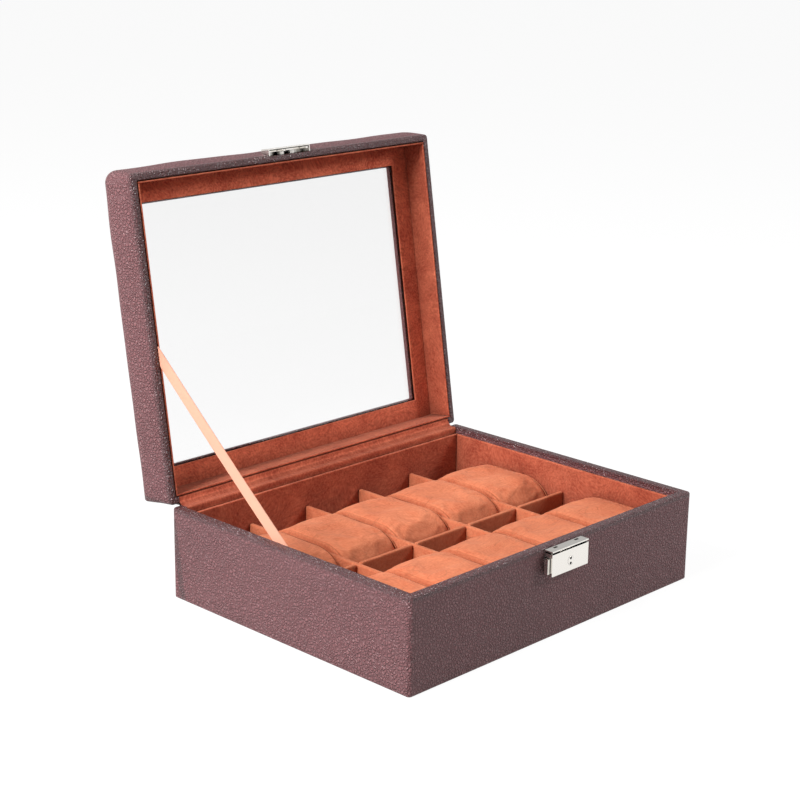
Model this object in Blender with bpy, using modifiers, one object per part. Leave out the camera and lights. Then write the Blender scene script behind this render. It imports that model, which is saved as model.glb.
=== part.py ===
"""Watch box with a window lid, two rows of pillows and a slide lock, standing open on its ribbon stay.

Metres, +Z up. The front faces -Y. The origin is under the middle of the base, on the surface it stands on.
Everything on the lid is placed as if the lid were shut, and hangs on an empty on the hinge axis.
"""

import math

import bmesh
import bpy
from mathutils import Matrix, Vector

# Outside sizes
BOX_WIDTH = 0.2600
BOX_DEPTH = 0.2060
BASE_HEIGHT = 0.0600
LID_HEIGHT = 0.0284
OPEN_ANGLE = math.radians(99.0)
CLOSED_GAP = 0.0006
HINGE_OVERHANG = 0.0003
SEAT_GAP = 0.0003
CUT_OVERRUN = 0.0010
CORNER_STEPS = 4

# Leather covering
LEATHER = 0.0006
FOLD_STEPS = 3
RIM_OUTER_FOLD = 0.0015
RIM_INNER_FOLD = 0.0010
LEAST_CORNER = 0.0005
BASE_CORNER_RADIUS = 0.0025
BASE_RIM_WIDTH = 0.0065
BASE_TURN_IN = 0.0120
BASE_HEM_WIDTH = 0.0055
BASE_HEM_RISE = 0.0003
LID_RIM_CORNER_RADIUS = 0.0025
LID_PAD_CORNER_RADIUS = 0.0080
LID_RIM_WIDTH = 0.0046
LID_TURN_IN = 0.0060
LID_EDGE_RADIUS = 0.0080
LID_SIDE_BULGE = 0.0027
LID_CROWN_DROP = 0.0030
LEATHER_WINDOW_MARGIN = 0.0206
WINDOW_FOLD = 0.0015
BULGE_STEPS = 4
CROWN_STEPS = 4
REAR_SKIN_CUT = 0.0015

# Boards and padding
BOARD_ROUND = 0.0012
BOTTOM_BOARD = 0.0040
FELT = 0.0009
LID_RAIL = 0.0028
LID_TOP_BOARD = 0.0020
TOP_BOARD_CORNER_RADIUS = 0.0040

# Lining
LINER = 0.0020
LINER_DROP = 0.0042
STAY_SLOT = 0.0006
FLOOR_PAD = 0.0015
LID_LINER = 0.0008
LID_INNER_DEPTH = 0.0185
LINING_FRAME = 0.0012
LINING_WINDOW_MARGIN = 0.0193
GLASS = 0.0016
GLASS_MARGIN = 0.0100
SOFT_EDGE = 0.0004

# Dividers
COLUMNS = 5
DIVIDER = 0.0030
DIVIDER_TOP = 0.0377
DIVIDER_ROUND = 0.0010
CROSS_SETBACK = 0.0040
SLOT_CLEARANCE = 0.0005

# Pillows
PILLOW_FRONT_GAP = 0.0040
PILLOW_STRAP_GAP = 0.0104
PILLOW_REAR_ROW_GAP = 0.0080
PILLOW_SEAM_TOP = 0.0414
PILLOW_END = 0.0225
PILLOW_CROWN = 0.0011
PILLOW_SEAM_SETBACK = 0.0010
PILLOW_PANEL_ROUND = 0.0020
PILLOW_CLEARANCE = 0.0005
PILLOW_RING_POINTS = 24
PILLOW_END_CROWN_SHARE = 0.6
PILLOW_PANEL_SHARES = (0.0, 0.3, 1.0)
PILLOW_BAND_SHARES = (0.7, 0.25)

# Hinge strips
STRIP_END_GAP = 0.0004
INNER_STRIP = 0.0004
INNER_STRIP_TURN_IN = 0.0110
INNER_STRIP_LID_TURN_IN = 0.0070
INNER_STRIP_SLACK = 0.0018
OUTER_STRIP = 0.0006
OUTER_STRIP_BASE_REACH = 0.0220
OUTER_STRIP_LID_REACH = 0.0190
OUTER_STRIP_BEND = 0.0010

# Ribbon stay
RIBBON_THICKNESS = 0.0003
RIBBON_WIDTH = 0.0085
RIBBON_BASE_Y = 0.0060
RIBBON_BASE_DEPTH = 0.0090
RIBBON_LID_REACH = 0.0935
RIBBON_LID_DEPTH = 0.0050

# Lock on the base
LOCK_WIDTH = 0.0336
LOCK_PLATE = 0.0008
LOCK_RIM_DROP = 0.0010
LOCK_COVER_DROP = 0.0019
LOCK_COVER_DEPTH = 0.0055
LOCK_COVER_HEIGHT = 0.0140
LOCK_EDGE_ROUND = 0.0004
SLIDE_PLATE = 0.0012
SLIDE_BACK_GAP = 0.0006
SLIDE_TRAVEL = 0.0020
SLIDE_RISE = 0.0020
SLIDE_HEIGHT = 0.0090
SLIDE_RIGHT = 0.0085
SLIDE_BAND = 0.0030
SLIDE_LEFT_INSET = 0.0008
TAB_REACH = 0.0023
TAB_ROOT = 0.0045
TAB_DEPTH = 0.0028
TAB_LIP = 0.0002
ARM_WIDTH = 0.0014
NOSE_DROP = 0.0005
NOSE_HEIGHT = 0.0013
KEY_RADIUS = 0.0026
KEY_COLLAR_RADIUS = 0.0034
KEY_COLLAR_DEPTH = 0.0012
KEY_NECK_RADIUS = 0.0009
KEY_PROUD = 0.0001
KEY_SEGMENTS = 24
KEY_PIN_RADIUS = 0.0006
KEY_PIN_SPACING = 0.0032
KEY_PIN_DEPTH = 0.0015
CAM_LENGTH = 0.0060
CAM_WIDTH = 0.0020
SPRING_RADIUS = 0.0010
SPRING_WIRE_RADIUS = 0.0002
SPRING_TURNS = 5
SPRING_TURN_POINTS = 9
SPRING_END = 0.0004
RIVET_X = 0.0134
RIVET_HEAD_RADIUS = 0.0015
RIVET_HEAD = 0.0005
RIVET_SHANK_RADIUS = 0.0006
RIVET_GRIP = 0.0025
RIVET_SEGMENTS = 12

# Catch on the lid
CATCH_WIDTH = 0.0360
CATCH_HEIGHT = 0.0074
CATCH_RISE = 0.0002
CATCH_PROUD = 0.0041
CATCH_WALL = 0.0007
HOOK_X = 0.0098
HOOK_PLATE = 0.0010
HOOK_WIDTH = 0.0016
HOOK_BARB = 0.0012
HOOK_BARB_HEIGHT = 0.0014
BOSS_X = 0.0046
BOSS_RADIUS = 0.0022
SCREW_HEAD_RADIUS = 0.0016
SCREW_HEAD = 0.0007
SCREW_SHANK_RADIUS = 0.0007
SCREW_GRIP = 0.0020

# Places worked out from the sizes
HALF_WIDTH = BOX_WIDTH / 2
HALF_DEPTH = BOX_DEPTH / 2
FRONT = -HALF_DEPTH
COVER_SEAT = LEATHER + SEAT_GAP
BASE_BOARD = BASE_RIM_WIDTH - 2 * COVER_SEAT
BOARD_INNER = COVER_SEAT + BASE_BOARD
BOTTOM_LOW = FELT + SEAT_GAP
BOTTOM_HIGH = BOTTOM_LOW + BOTTOM_BOARD
STAND = BOTTOM_HIGH + SEAT_GAP
BOARD_TOP = BASE_HEIGHT - COVER_SEAT
LINER_OUTER = BASE_RIM_WIDTH + STAY_SLOT
LINER_INNER = LINER_OUTER + LINER
LINER_TOP = BASE_HEIGHT - LINER_DROP
FLOOR = STAND + FLOOR_PAD
INSIDE_HALF_WIDTH = HALF_WIDTH - LINER_INNER
INSIDE_HALF_DEPTH = HALF_DEPTH - LINER_INNER
DIVIDER_LOW = FLOOR + SEAT_GAP
CELL_WIDTH = (2 * INSIDE_HALF_WIDTH - (COLUMNS - 1) * DIVIDER) / COLUMNS
CELL_PITCH = CELL_WIDTH + DIVIDER
CROSS_Y = -CROSS_SETBACK
PILLOW_LOW = FLOOR + SEAT_GAP
PILLOW_LENGTH = INSIDE_HALF_DEPTH + CROSS_Y - DIVIDER / 2 - PILLOW_FRONT_GAP - PILLOW_STRAP_GAP
HINGE = Vector((0, HALF_DEPTH + HINGE_OVERHANG, BASE_HEIGHT + CLOSED_GAP / 2))
LID_RIM = BASE_HEIGHT + CLOSED_GAP
LID_CROWN = LID_RIM + LID_HEIGHT
RAIL_INNER = COVER_SEAT + LID_RAIL
LID_LINER_OUTER = LID_RIM_WIDTH + STAY_SLOT
LID_LINER_INNER = LID_LINER_OUTER + LID_LINER
FRAME_LOW = LID_RIM + LID_INNER_DEPTH
FRAME_HIGH = FRAME_LOW + LINING_FRAME
GLASS_LOW = FRAME_HIGH + SEAT_GAP
GLASS_HIGH = GLASS_LOW + GLASS
TOP_BOARD_LOW = GLASS_HIGH + SEAT_GAP
TOP_BOARD_HIGH = TOP_BOARD_LOW + LID_TOP_BOARD
LOCK_PLATE_FRONT = FRONT - SEAT_GAP - LOCK_PLATE
LOCK_FLANGE_TOP = BASE_HEIGHT - LOCK_RIM_DROP
LOCK_COVER_TOP = LOCK_FLANGE_TOP - LOCK_COVER_DROP
LOCK_COVER_BOTTOM = LOCK_COVER_TOP - LOCK_COVER_HEIGHT
LOCK_PLATE_BOTTOM = LOCK_COVER_BOTTOM + SEAT_GAP
RIVET_HEIGHT = (LOCK_COVER_BOTTOM + LOCK_COVER_TOP) / 2
SLIDE_BOTTOM = LOCK_COVER_BOTTOM + SLIDE_RISE
SLIDE_TOP = SLIDE_BOTTOM + SLIDE_HEIGHT
SPRING_HEIGHT = (SLIDE_BOTTOM + SLIDE_TOP - SLIDE_BAND) / 2
TAB_BOTTOM = SLIDE_BOTTOM - TAB_LIP
TAB_TOP = SLIDE_TOP + TAB_LIP
NOSE_TOP = LOCK_FLANGE_TOP - LOCK_PLATE - NOSE_DROP
KEY_HEIGHT = (SLIDE_BOTTOM + SLIDE_TOP) / 2
COVER_BACK = LOCK_PLATE_FRONT - SEAT_GAP
COVER_FRONT = COVER_BACK - LOCK_COVER_DEPTH
SLIDE_BACK = LOCK_PLATE_FRONT - SLIDE_BACK_GAP
SLIDE_FRONT = SLIDE_BACK - SLIDE_PLATE
SLIDE_MIDDLE = (SLIDE_BACK + SLIDE_FRONT) / 2
SLIDE_LEFT = -LOCK_WIDTH / 2 + SLIDE_LEFT_INSET
HOOK_MIDDLE = SLIDE_MIDDLE
CATCH_LOW = LID_RIM + CATCH_RISE
CATCH_BACK = FRONT + COVER_SEAT - SEAT_GAP
CATCH_FRONT = FRONT - CATCH_PROUD
BARB_HIGH = NOSE_TOP - NOSE_HEIGHT - SEAT_GAP
HOOK_LOW = BARB_HIGH - HOOK_BARB_HEIGHT
ARM_GAP = HOOK_WIDTH / 2 + HOOK_BARB + SEAT_GAP


def make_material(name, color, roughness, metallic=0.0, alpha=1.0):
    """A plain Principled material; color holds linear red, green and blue."""
    material = bpy.data.materials.new(name)
    material.use_nodes = True
    shader = material.node_tree.nodes["Principled BSDF"]
    shader.inputs["Base Color"].default_value = (*color, 1.0)
    shader.inputs["Roughness"].default_value = roughness
    shader.inputs["Metallic"].default_value = metallic
    shader.inputs["Alpha"].default_value = alpha
    return material


def clear_scene():
    for leftover in list(bpy.data.objects):
        bpy.data.objects.remove(leftover)


def add_collection(name):
    collection = bpy.data.collections.new(name)
    bpy.context.scene.collection.children.link(collection)
    return collection


clear_scene()
PARTS = add_collection("watch_box")
CUTTERS = add_collection("watch_box_cutters")
MATERIALS = {
    "leather": make_material("brown grained leatherette", (0.105, 0.060, 0.063), 0.55),
    "board": make_material("fibreboard", (0.36, 0.24, 0.14), 0.85),
    "foam": make_material("polyurethane foam", (0.62, 0.58, 0.50), 0.95),
    "suede": make_material("rust microsuede", (0.52, 0.17, 0.075), 0.9),
    "felt": make_material("black felt", (0.03, 0.028, 0.028), 0.95),
    "glass": make_material("clear glass", (0.95, 0.97, 0.97), 0.05, alpha=0.25),
    "nickel": make_material("bright nickel plate", (0.72, 0.70, 0.67), 0.18, metallic=1.0),
    "satin": make_material("satin ribbon", (0.83, 0.42, 0.25), 0.45),
}


def finish(item, name, material, carrier=None, collection=None):
    """Names an object, gives it its material and hangs it on its carrier, if it has one."""
    item.name = name
    item.data.name = name
    item.data.materials.clear()
    item.data.materials.append(MATERIALS[material])
    (collection or PARTS).objects.link(item)
    if carrier:
        item.parent = carrier
        item.location = item.location - carrier.location
    return item


def object_from(shape, place):
    """An object at a place from a finished bmesh."""
    data = bpy.data.meshes.new("shape")
    shape.to_mesh(data)
    shape.free()
    item = bpy.data.objects.new("shape", data)
    item.location = place
    return item


def as_cutter(item, carrier=None):
    """Puts a finished object among the cutters, hidden from the render."""
    finish(item, "cutter", "board", carrier, CUTTERS)
    item.hide_render = True
    item.display_type = "WIRE"
    return item


def box_shape(x_span, y_span, z_span):
    """A cube stretched in its mesh to the three spans, and the middle where it goes."""
    size = [high - low for low, high in (x_span, y_span, z_span)]
    middle = Vector([(high + low) / 2 for low, high in (x_span, y_span, z_span)])
    shape = bmesh.new()
    bmesh.ops.create_cube(shape, size=1.0)
    bmesh.ops.scale(shape, vec=size, verts=shape.verts)
    return shape, middle


def add_box(name, x_span, y_span, z_span, material, carrier=None, edge=0):
    """A board, panel or plate with an optional rounded edge."""
    item = object_from(*box_shape(x_span, y_span, z_span))
    finish(item, name, material, carrier)
    if edge:
        add_bevel(item, edge)
    return item


def box_cutter(x_span, y_span, z_span, carrier=None):
    return as_cutter(object_from(*box_shape(x_span, y_span, z_span)), carrier)


def rod_shape(radius, y_span, x, z, segments):
    """A round bar along Y, in the mesh's own place, and the middle where it goes."""
    low, high = y_span
    shape = bmesh.new()
    bmesh.ops.create_cone(shape, cap_ends=True, segments=segments, radius1=radius, radius2=radius,
                          depth=high - low)
    half_facet = Matrix.Rotation(math.pi / segments, 3, "Z")
    bmesh.ops.rotate(shape, matrix=Matrix.Rotation(math.pi / 2, 3, "X") @ half_facet, verts=shape.verts)
    return shape, Vector((x, (low + high) / 2, z))


def rod_cutter(radius, y_span, x, z, segments, carrier=None):
    return as_cutter(object_from(*rod_shape(radius, y_span, x, z, segments)), carrier)


def add_bevel(item, width, segments=2):
    modifier = item.modifiers.new("rounded edges", "BEVEL")
    modifier.width = width
    modifier.segments = segments
    modifier.limit_method = "ANGLE"
    modifier.use_clamp_overlap = True


def add_solidify(item, thickness):
    """Gives an open surface its thickness behind its outer face."""
    modifier = item.modifiers.new("thickness", "SOLIDIFY")
    modifier.thickness = thickness
    modifier.offset = -1.0
    modifier.use_even_offset = True


def combine(item, tool, operation="DIFFERENCE"):
    modifier = item.modifiers.new("cut or join", "BOOLEAN")
    modifier.operation = operation
    modifier.solver = "EXACT"
    modifier.object = tool


def smooth(item, angle=math.radians(35.0)):
    item.data.shade_smooth()
    item.data.set_sharp_from_angle(angle=angle)


def arc(middle, radius, start, end, steps):
    """Points on an arc in a plane; the angles are in degrees."""
    points = []
    for step in range(steps + 1):
        angle = math.radians(start + (end - start) * step / steps)
        points.append((middle[0] + radius * math.cos(angle), middle[1] + radius * math.sin(angle)))
    return points


def rounded_loop(inset, height, radius):
    """The box's outline set in from its sides, anticlockwise from above; the rear side never bulges."""
    rear_radius = min(radius, LID_RIM_CORNER_RADIUS)
    east = HALF_WIDTH - inset - radius
    south = HALF_DEPTH - inset - radius
    north = HALF_DEPTH - max(inset, 0) - rear_radius
    corners = ((-east, -south, radius, 180), (east, -south, radius, 270), (east, north, rear_radius, 0),
               (-east, north, rear_radius, 90))
    loop = []
    for x, y, depth, start in corners:
        for across, along in arc((0, 0), 1, start, start + 90, CORNER_STEPS):
            loop.append(Vector((x + radius * across, y + depth * along, height)))
    return loop


def inner_section(section, distance):
    """A section moved in behind itself by a distance, its corners kept concentric."""
    moved = []
    for before, here, after in zip(section, section[1:], section[2:]):
        run = Vector((after[0] - before[0], after[1] - before[1])).normalized()
        inset = here[0] + run.y * distance
        moved.append((inset, here[1] - run.x * distance, max(here[2] - run.y * distance, LEAST_CORNER)))
    return moved


def loft(loops, round_again=False, capped=False):
    """Quads between successive loops of equal count."""
    shape = bmesh.new()
    rows = [[shape.verts.new(point) for point in loop] for loop in loops]
    pairs = list(zip(rows, rows[1:]))
    if round_again:
        pairs.append((rows[-1], rows[0]))
    for low, high in pairs:
        for here in range(len(low)):
            there = (here + 1) % len(low)
            shape.faces.new((low[here], low[there], high[there], high[here]))
    if capped:
        shape.faces.new(list(reversed(rows[0])))
        shape.faces.new(rows[-1])
    return shape


def add_skin(name, section, thickness, material, carrier=None):
    """A covering that runs round the box: a section of inset, height and corner radius, given thickness."""
    item = object_from(loft([rounded_loop(*point) for point in section]), Vector())
    finish(item, name, material, carrier)
    smooth(item)
    add_solidify(item, thickness)
    return item


def add_ring(name, section, material, carrier=None):
    """A solid frame that runs round the box, from a closed section of inset, height and corner radius."""
    shape = loft([rounded_loop(*point) for point in section], round_again=True)
    bmesh.ops.recalc_face_normals(shape, faces=shape.faces)
    return finish(object_from(shape, Vector()), name, material, carrier)


def flat_section(outer, inner, low, high, radius):
    """The section of a flat frame with rounded outer corners."""
    window = LEAST_CORNER
    return [(outer, low, radius), (outer, high, radius), (inner, high, window), (inner, low, window)]


def outline_solid(outlines, y_span):
    """A flat piece in the XZ plane, from an outer outline and any holes, as thick as the Y span."""
    curve = bpy.data.curves.new("outline", "CURVE")
    curve.dimensions = "2D"
    curve.fill_mode = "BOTH"
    curve.extrude = (y_span[1] - y_span[0]) / 2
    for outline in outlines:
        spline = curve.splines.new("POLY")
        spline.points.add(len(outline) - 1)
        for point, (x, z) in zip(spline.points, outline):
            point.co = (x, z, 0, 1)
        spline.use_cyclic_u = True
    drawn = bpy.data.objects.new("outline", curve)
    bpy.context.scene.collection.objects.link(drawn)
    evaluated = drawn.evaluated_get(bpy.context.evaluated_depsgraph_get())
    data = bpy.data.meshes.new_from_object(evaluated)
    bpy.data.objects.remove(drawn)
    shape = bmesh.new()
    shape.from_mesh(data)
    bmesh.ops.remove_doubles(shape, verts=shape.verts, dist=SPRING_WIRE_RADIUS / 10)
    bmesh.ops.rotate(shape, matrix=Matrix.Rotation(math.pi / 2, 3, "X"), verts=shape.verts)
    bmesh.ops.recalc_face_normals(shape, faces=shape.faces)
    return object_from(shape, Vector((0, (y_span[0] + y_span[1]) / 2, 0)))


def add_strip(name, path, half_width, thickness, material):
    """A flexible strip along X, bent along a path of Y and Z, with its thickness split about the path."""
    shape = bmesh.new()
    rows = [[shape.verts.new((x, y, z)) for x in (-half_width, half_width)] for y, z in path]
    for here, there in zip(rows, rows[1:]):
        shape.faces.new((here[0], here[1], there[1], there[0]))
    item = object_from(shape, Vector())
    finish(item, name, material)
    smooth(item)
    add_solidify(item, thickness)
    item.modifiers["thickness"].offset = 0.0
    return item


def both(value):
    return (-value, value)


def build_base_shell():
    """Boards of the base, its leather and the felt under it."""
    outer = COVER_SEAT
    inner = BOARD_INNER
    x_out = HALF_WIDTH - outer
    y_out = HALF_DEPTH - outer
    x_in = HALF_WIDTH - inner
    y_in = HALF_DEPTH - inner
    edge = BOARD_ROUND
    add_box("base_bottom_board", both(x_out), both(y_out), (BOTTOM_LOW, BOTTOM_HIGH), "board", edge=edge)
    rise = (STAND, BOARD_TOP)
    add_box("base_left_board", (-x_out, -x_in), both(y_out), rise, "board", edge=edge)
    add_box("base_right_board", (x_in, x_out), both(y_out), rise, "board", edge=edge)
    between = both(x_in - SEAT_GAP)
    front_board = add_box("base_front_board", between, (-y_out, -y_in), rise, "board")
    add_box("base_rear_board", between, (y_in, y_out), rise, "board")
    hem = BASE_HEM_WIDTH + SEAT_GAP
    add_box("base_felt", both(HALF_WIDTH - hem), both(HALF_DEPTH - hem), (0, FELT), "felt")

    section = [(BASE_HEM_WIDTH, BASE_HEM_RISE)]
    section += arc((RIM_INNER_FOLD, BASE_HEM_RISE + RIM_INNER_FOLD), RIM_INNER_FOLD, 270, 180, FOLD_STEPS)
    section += arc((RIM_OUTER_FOLD, BASE_HEIGHT - RIM_OUTER_FOLD), RIM_OUTER_FOLD, 180, 90, FOLD_STEPS)
    section += arc((BASE_RIM_WIDTH - RIM_INNER_FOLD, BASE_HEIGHT - RIM_INNER_FOLD), RIM_INNER_FOLD, 90, 0,
                   FOLD_STEPS)
    section.append((BASE_RIM_WIDTH, BASE_HEIGHT - BASE_TURN_IN))
    section = [(inset, height, max(BASE_CORNER_RADIUS - inset, LEAST_CORNER)) for inset, height in section]
    wrap = add_skin("base_leather_wrap", section, LEATHER, "leather")
    strip_bay = both(HALF_WIDTH - BASE_RIM_WIDTH - SEAT_GAP)
    combine(wrap, box_cutter(strip_bay, (y_in - BASE_BOARD, HALF_DEPTH + CUT_OVERRUN),
                             (BASE_HEIGHT - REAR_SKIN_CUT, BASE_HEIGHT + CUT_OVERRUN)))
    combine(wrap, box_cutter(strip_bay, (y_in - BASE_BOARD, y_in + BASE_BOARD / 2),
                             (BASE_HEIGHT - BASE_TURN_IN - CUT_OVERRUN, BASE_HEIGHT)))
    for x in both(RIVET_X):
        reach = (FRONT - CUT_OVERRUN, FRONT + COVER_SEAT + RIVET_GRIP + SEAT_GAP)
        hole = rod_cutter(RIVET_SHANK_RADIUS + SEAT_GAP, reach, x, RIVET_HEIGHT, RIVET_SEGMENTS)
        combine(wrap, hole)
        combine(front_board, hole)


def build_lining():
    """Suede-covered card that lines the base, and its floor."""
    x_out = HALF_WIDTH - LINER_OUTER
    y_out = HALF_DEPTH - LINER_OUTER
    x_in = INSIDE_HALF_WIDTH
    y_in = INSIDE_HALF_DEPTH
    rise = (STAND, LINER_TOP)
    add_box("liner_front", both(x_out), (-y_out, -y_in), rise, "suede", edge=SOFT_EDGE)
    add_box("liner_rear", both(x_out), (y_in, y_out), rise, "suede", edge=SOFT_EDGE)
    between = both(y_in - SEAT_GAP)
    add_box("liner_left", (-x_out, -x_in), between, rise, "suede", edge=SOFT_EDGE)
    add_box("liner_right", (x_in, x_out), between, rise, "suede", edge=SOFT_EDGE)
    add_box("floor_pad", both(x_in - SEAT_GAP), both(y_in - SEAT_GAP), (STAND, FLOOR), "suede")


def column_x(column):
    """Middle of a column of cells."""
    return (column - (COLUMNS - 1) / 2) * CELL_PITCH


def build_dividers():
    """One cross divider slotted from above, and the depth dividers slotted from below onto it."""
    rise = (DIVIDER_LOW, DIVIDER_TOP)
    half = (DIVIDER_LOW + DIVIDER_TOP) / 2
    slot = DIVIDER / 2 + SLOT_CLEARANCE
    cross = add_box("cross_divider", both(INSIDE_HALF_WIDTH - SEAT_GAP),
                    (CROSS_Y - DIVIDER / 2, CROSS_Y + DIVIDER / 2), rise, "suede")
    for number in range(1, COLUMNS):
        x = column_x(number) - CELL_PITCH / 2
        combine(cross, box_cutter((x - slot, x + slot),
                                  (CROSS_Y - DIVIDER, CROSS_Y + DIVIDER),
                                  (half - SEAT_GAP / 2, DIVIDER_TOP + CUT_OVERRUN)))
        depth = add_box("depth_divider_%d" % number, (x - DIVIDER / 2, x + DIVIDER / 2),
                        both(INSIDE_HALF_DEPTH - SEAT_GAP), rise, "suede")
        combine(depth, box_cutter((x - DIVIDER, x + DIVIDER), (CROSS_Y - slot, CROSS_Y + slot),
                                  (DIVIDER_LOW - CUT_OVERRUN, half + SEAT_GAP / 2)))
        add_bevel(depth, DIVIDER_ROUND)
    add_bevel(cross, DIVIDER_ROUND)


def pillow_ring(x, inset, crown):
    """One slice of a pillow seen from the side: long round ends, a crown above and a flat underside."""
    half_height = (PILLOW_SEAM_TOP - PILLOW_LOW) / 2
    end = PILLOW_END - inset
    flat = PILLOW_LENGTH / 2 - PILLOW_CROWN * PILLOW_END_CROWN_SHARE - PILLOW_END
    ring = []
    for step in range(PILLOW_RING_POINTS):
        angle = 2 * math.pi * (step + 0.5) / PILLOW_RING_POINTS
        out = math.cos(angle)
        up = math.sin(angle)
        y = math.copysign(flat, out) + (end + crown * PILLOW_END_CROWN_SHARE) * out
        ring.append(Vector((x, y, half_height + (half_height - inset) * up + crown * max(up, 0))))
    return ring


def build_pillows():
    """Ten sewn pillows: a crowned band over the top and round both ends, between two full side panels."""
    half = CELL_WIDTH / 2 - PILLOW_CLEARANCE
    seam = half - PILLOW_SEAM_SETBACK
    stations = []
    for share in PILLOW_PANEL_SHARES:
        turn = math.asin(share)
        stations.append((seam + PILLOW_SEAM_SETBACK * math.cos(turn), PILLOW_PANEL_ROUND * (1 - share), 0))
    for share in PILLOW_BAND_SHARES:
        stations.append((seam * share, 0, PILLOW_CROWN * (1 - share ** 2)))
    loops = [pillow_ring(-x, inset, crown) for x, inset, crown in stations]
    loops += [pillow_ring(x, inset, crown) for x, inset, crown in reversed(stations)]
    rows = {
        "front": PILLOW_FRONT_GAP + PILLOW_LENGTH / 2 - INSIDE_HALF_DEPTH,
        "rear": CROSS_Y + DIVIDER / 2 + PILLOW_REAR_ROW_GAP + PILLOW_LENGTH / 2,
    }
    for row, y in rows.items():
        for column in range(COLUMNS):
            shape = loft(loops, capped=True)
            bmesh.ops.recalc_face_normals(shape, faces=shape.faces)
            item = object_from(shape, Vector((column_x(column), y, PILLOW_LOW)))
            finish(item, "pillow_%s_%d" % (row, column + 1), "suede")
            smooth(item)


def lid_section():
    """The lid's leather from inside the rim, over the padded side and top, to the edge of the window."""
    rim = LID_RIM
    section = [(LID_RIM_WIDTH, rim + LID_TURN_IN)]
    section += arc((LID_RIM_WIDTH - RIM_INNER_FOLD, rim + RIM_INNER_FOLD), RIM_INNER_FOLD, 360, 270, FOLD_STEPS)
    section += arc((RIM_OUTER_FOLD, rim + RIM_OUTER_FOLD), RIM_OUTER_FOLD, 270, 180, FOLD_STEPS)
    section = [(inset, height, max(LID_RIM_CORNER_RADIUS - inset, LEAST_CORNER)) for inset, height in section]
    edge_middle = (LID_EDGE_RADIUS - LID_SIDE_BULGE, LID_CROWN - LID_EDGE_RADIUS)
    side_low = rim + RIM_OUTER_FOLD
    for step in range(1, BULGE_STEPS):
        swell = math.sin(math.pi / 2 * step / BULGE_STEPS)
        height = side_low + (edge_middle[1] - side_low) * step / BULGE_STEPS
        radius = LID_RIM_CORNER_RADIUS + (LID_PAD_CORNER_RADIUS - LID_RIM_CORNER_RADIUS) * swell
        section.append((-LID_SIDE_BULGE * swell, height, radius))
    top = arc(edge_middle, LID_EDGE_RADIUS, 180, 90, FOLD_STEPS + 1)
    fold_start = (LEATHER_WINDOW_MARGIN - WINDOW_FOLD, LID_CROWN - LID_CROWN_DROP)
    for step in range(1, CROWN_STEPS):
        share = step / CROWN_STEPS
        inset = edge_middle[0] + (fold_start[0] - edge_middle[0]) * share
        top.append((inset, fold_start[1] + LID_CROWN_DROP * math.cos(math.pi / 2 * share)))
    top += arc((fold_start[0], fold_start[1] - WINDOW_FOLD), WINDOW_FOLD, 90, 0, FOLD_STEPS)
    top.append((LEATHER_WINDOW_MARGIN, TOP_BOARD_LOW))
    for inset, height in top:
        radius = max(LID_PAD_CORNER_RADIUS - LID_SIDE_BULGE - inset, LID_RIM_CORNER_RADIUS / 2)
        section.append((inset, height, radius))
    return section


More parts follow.
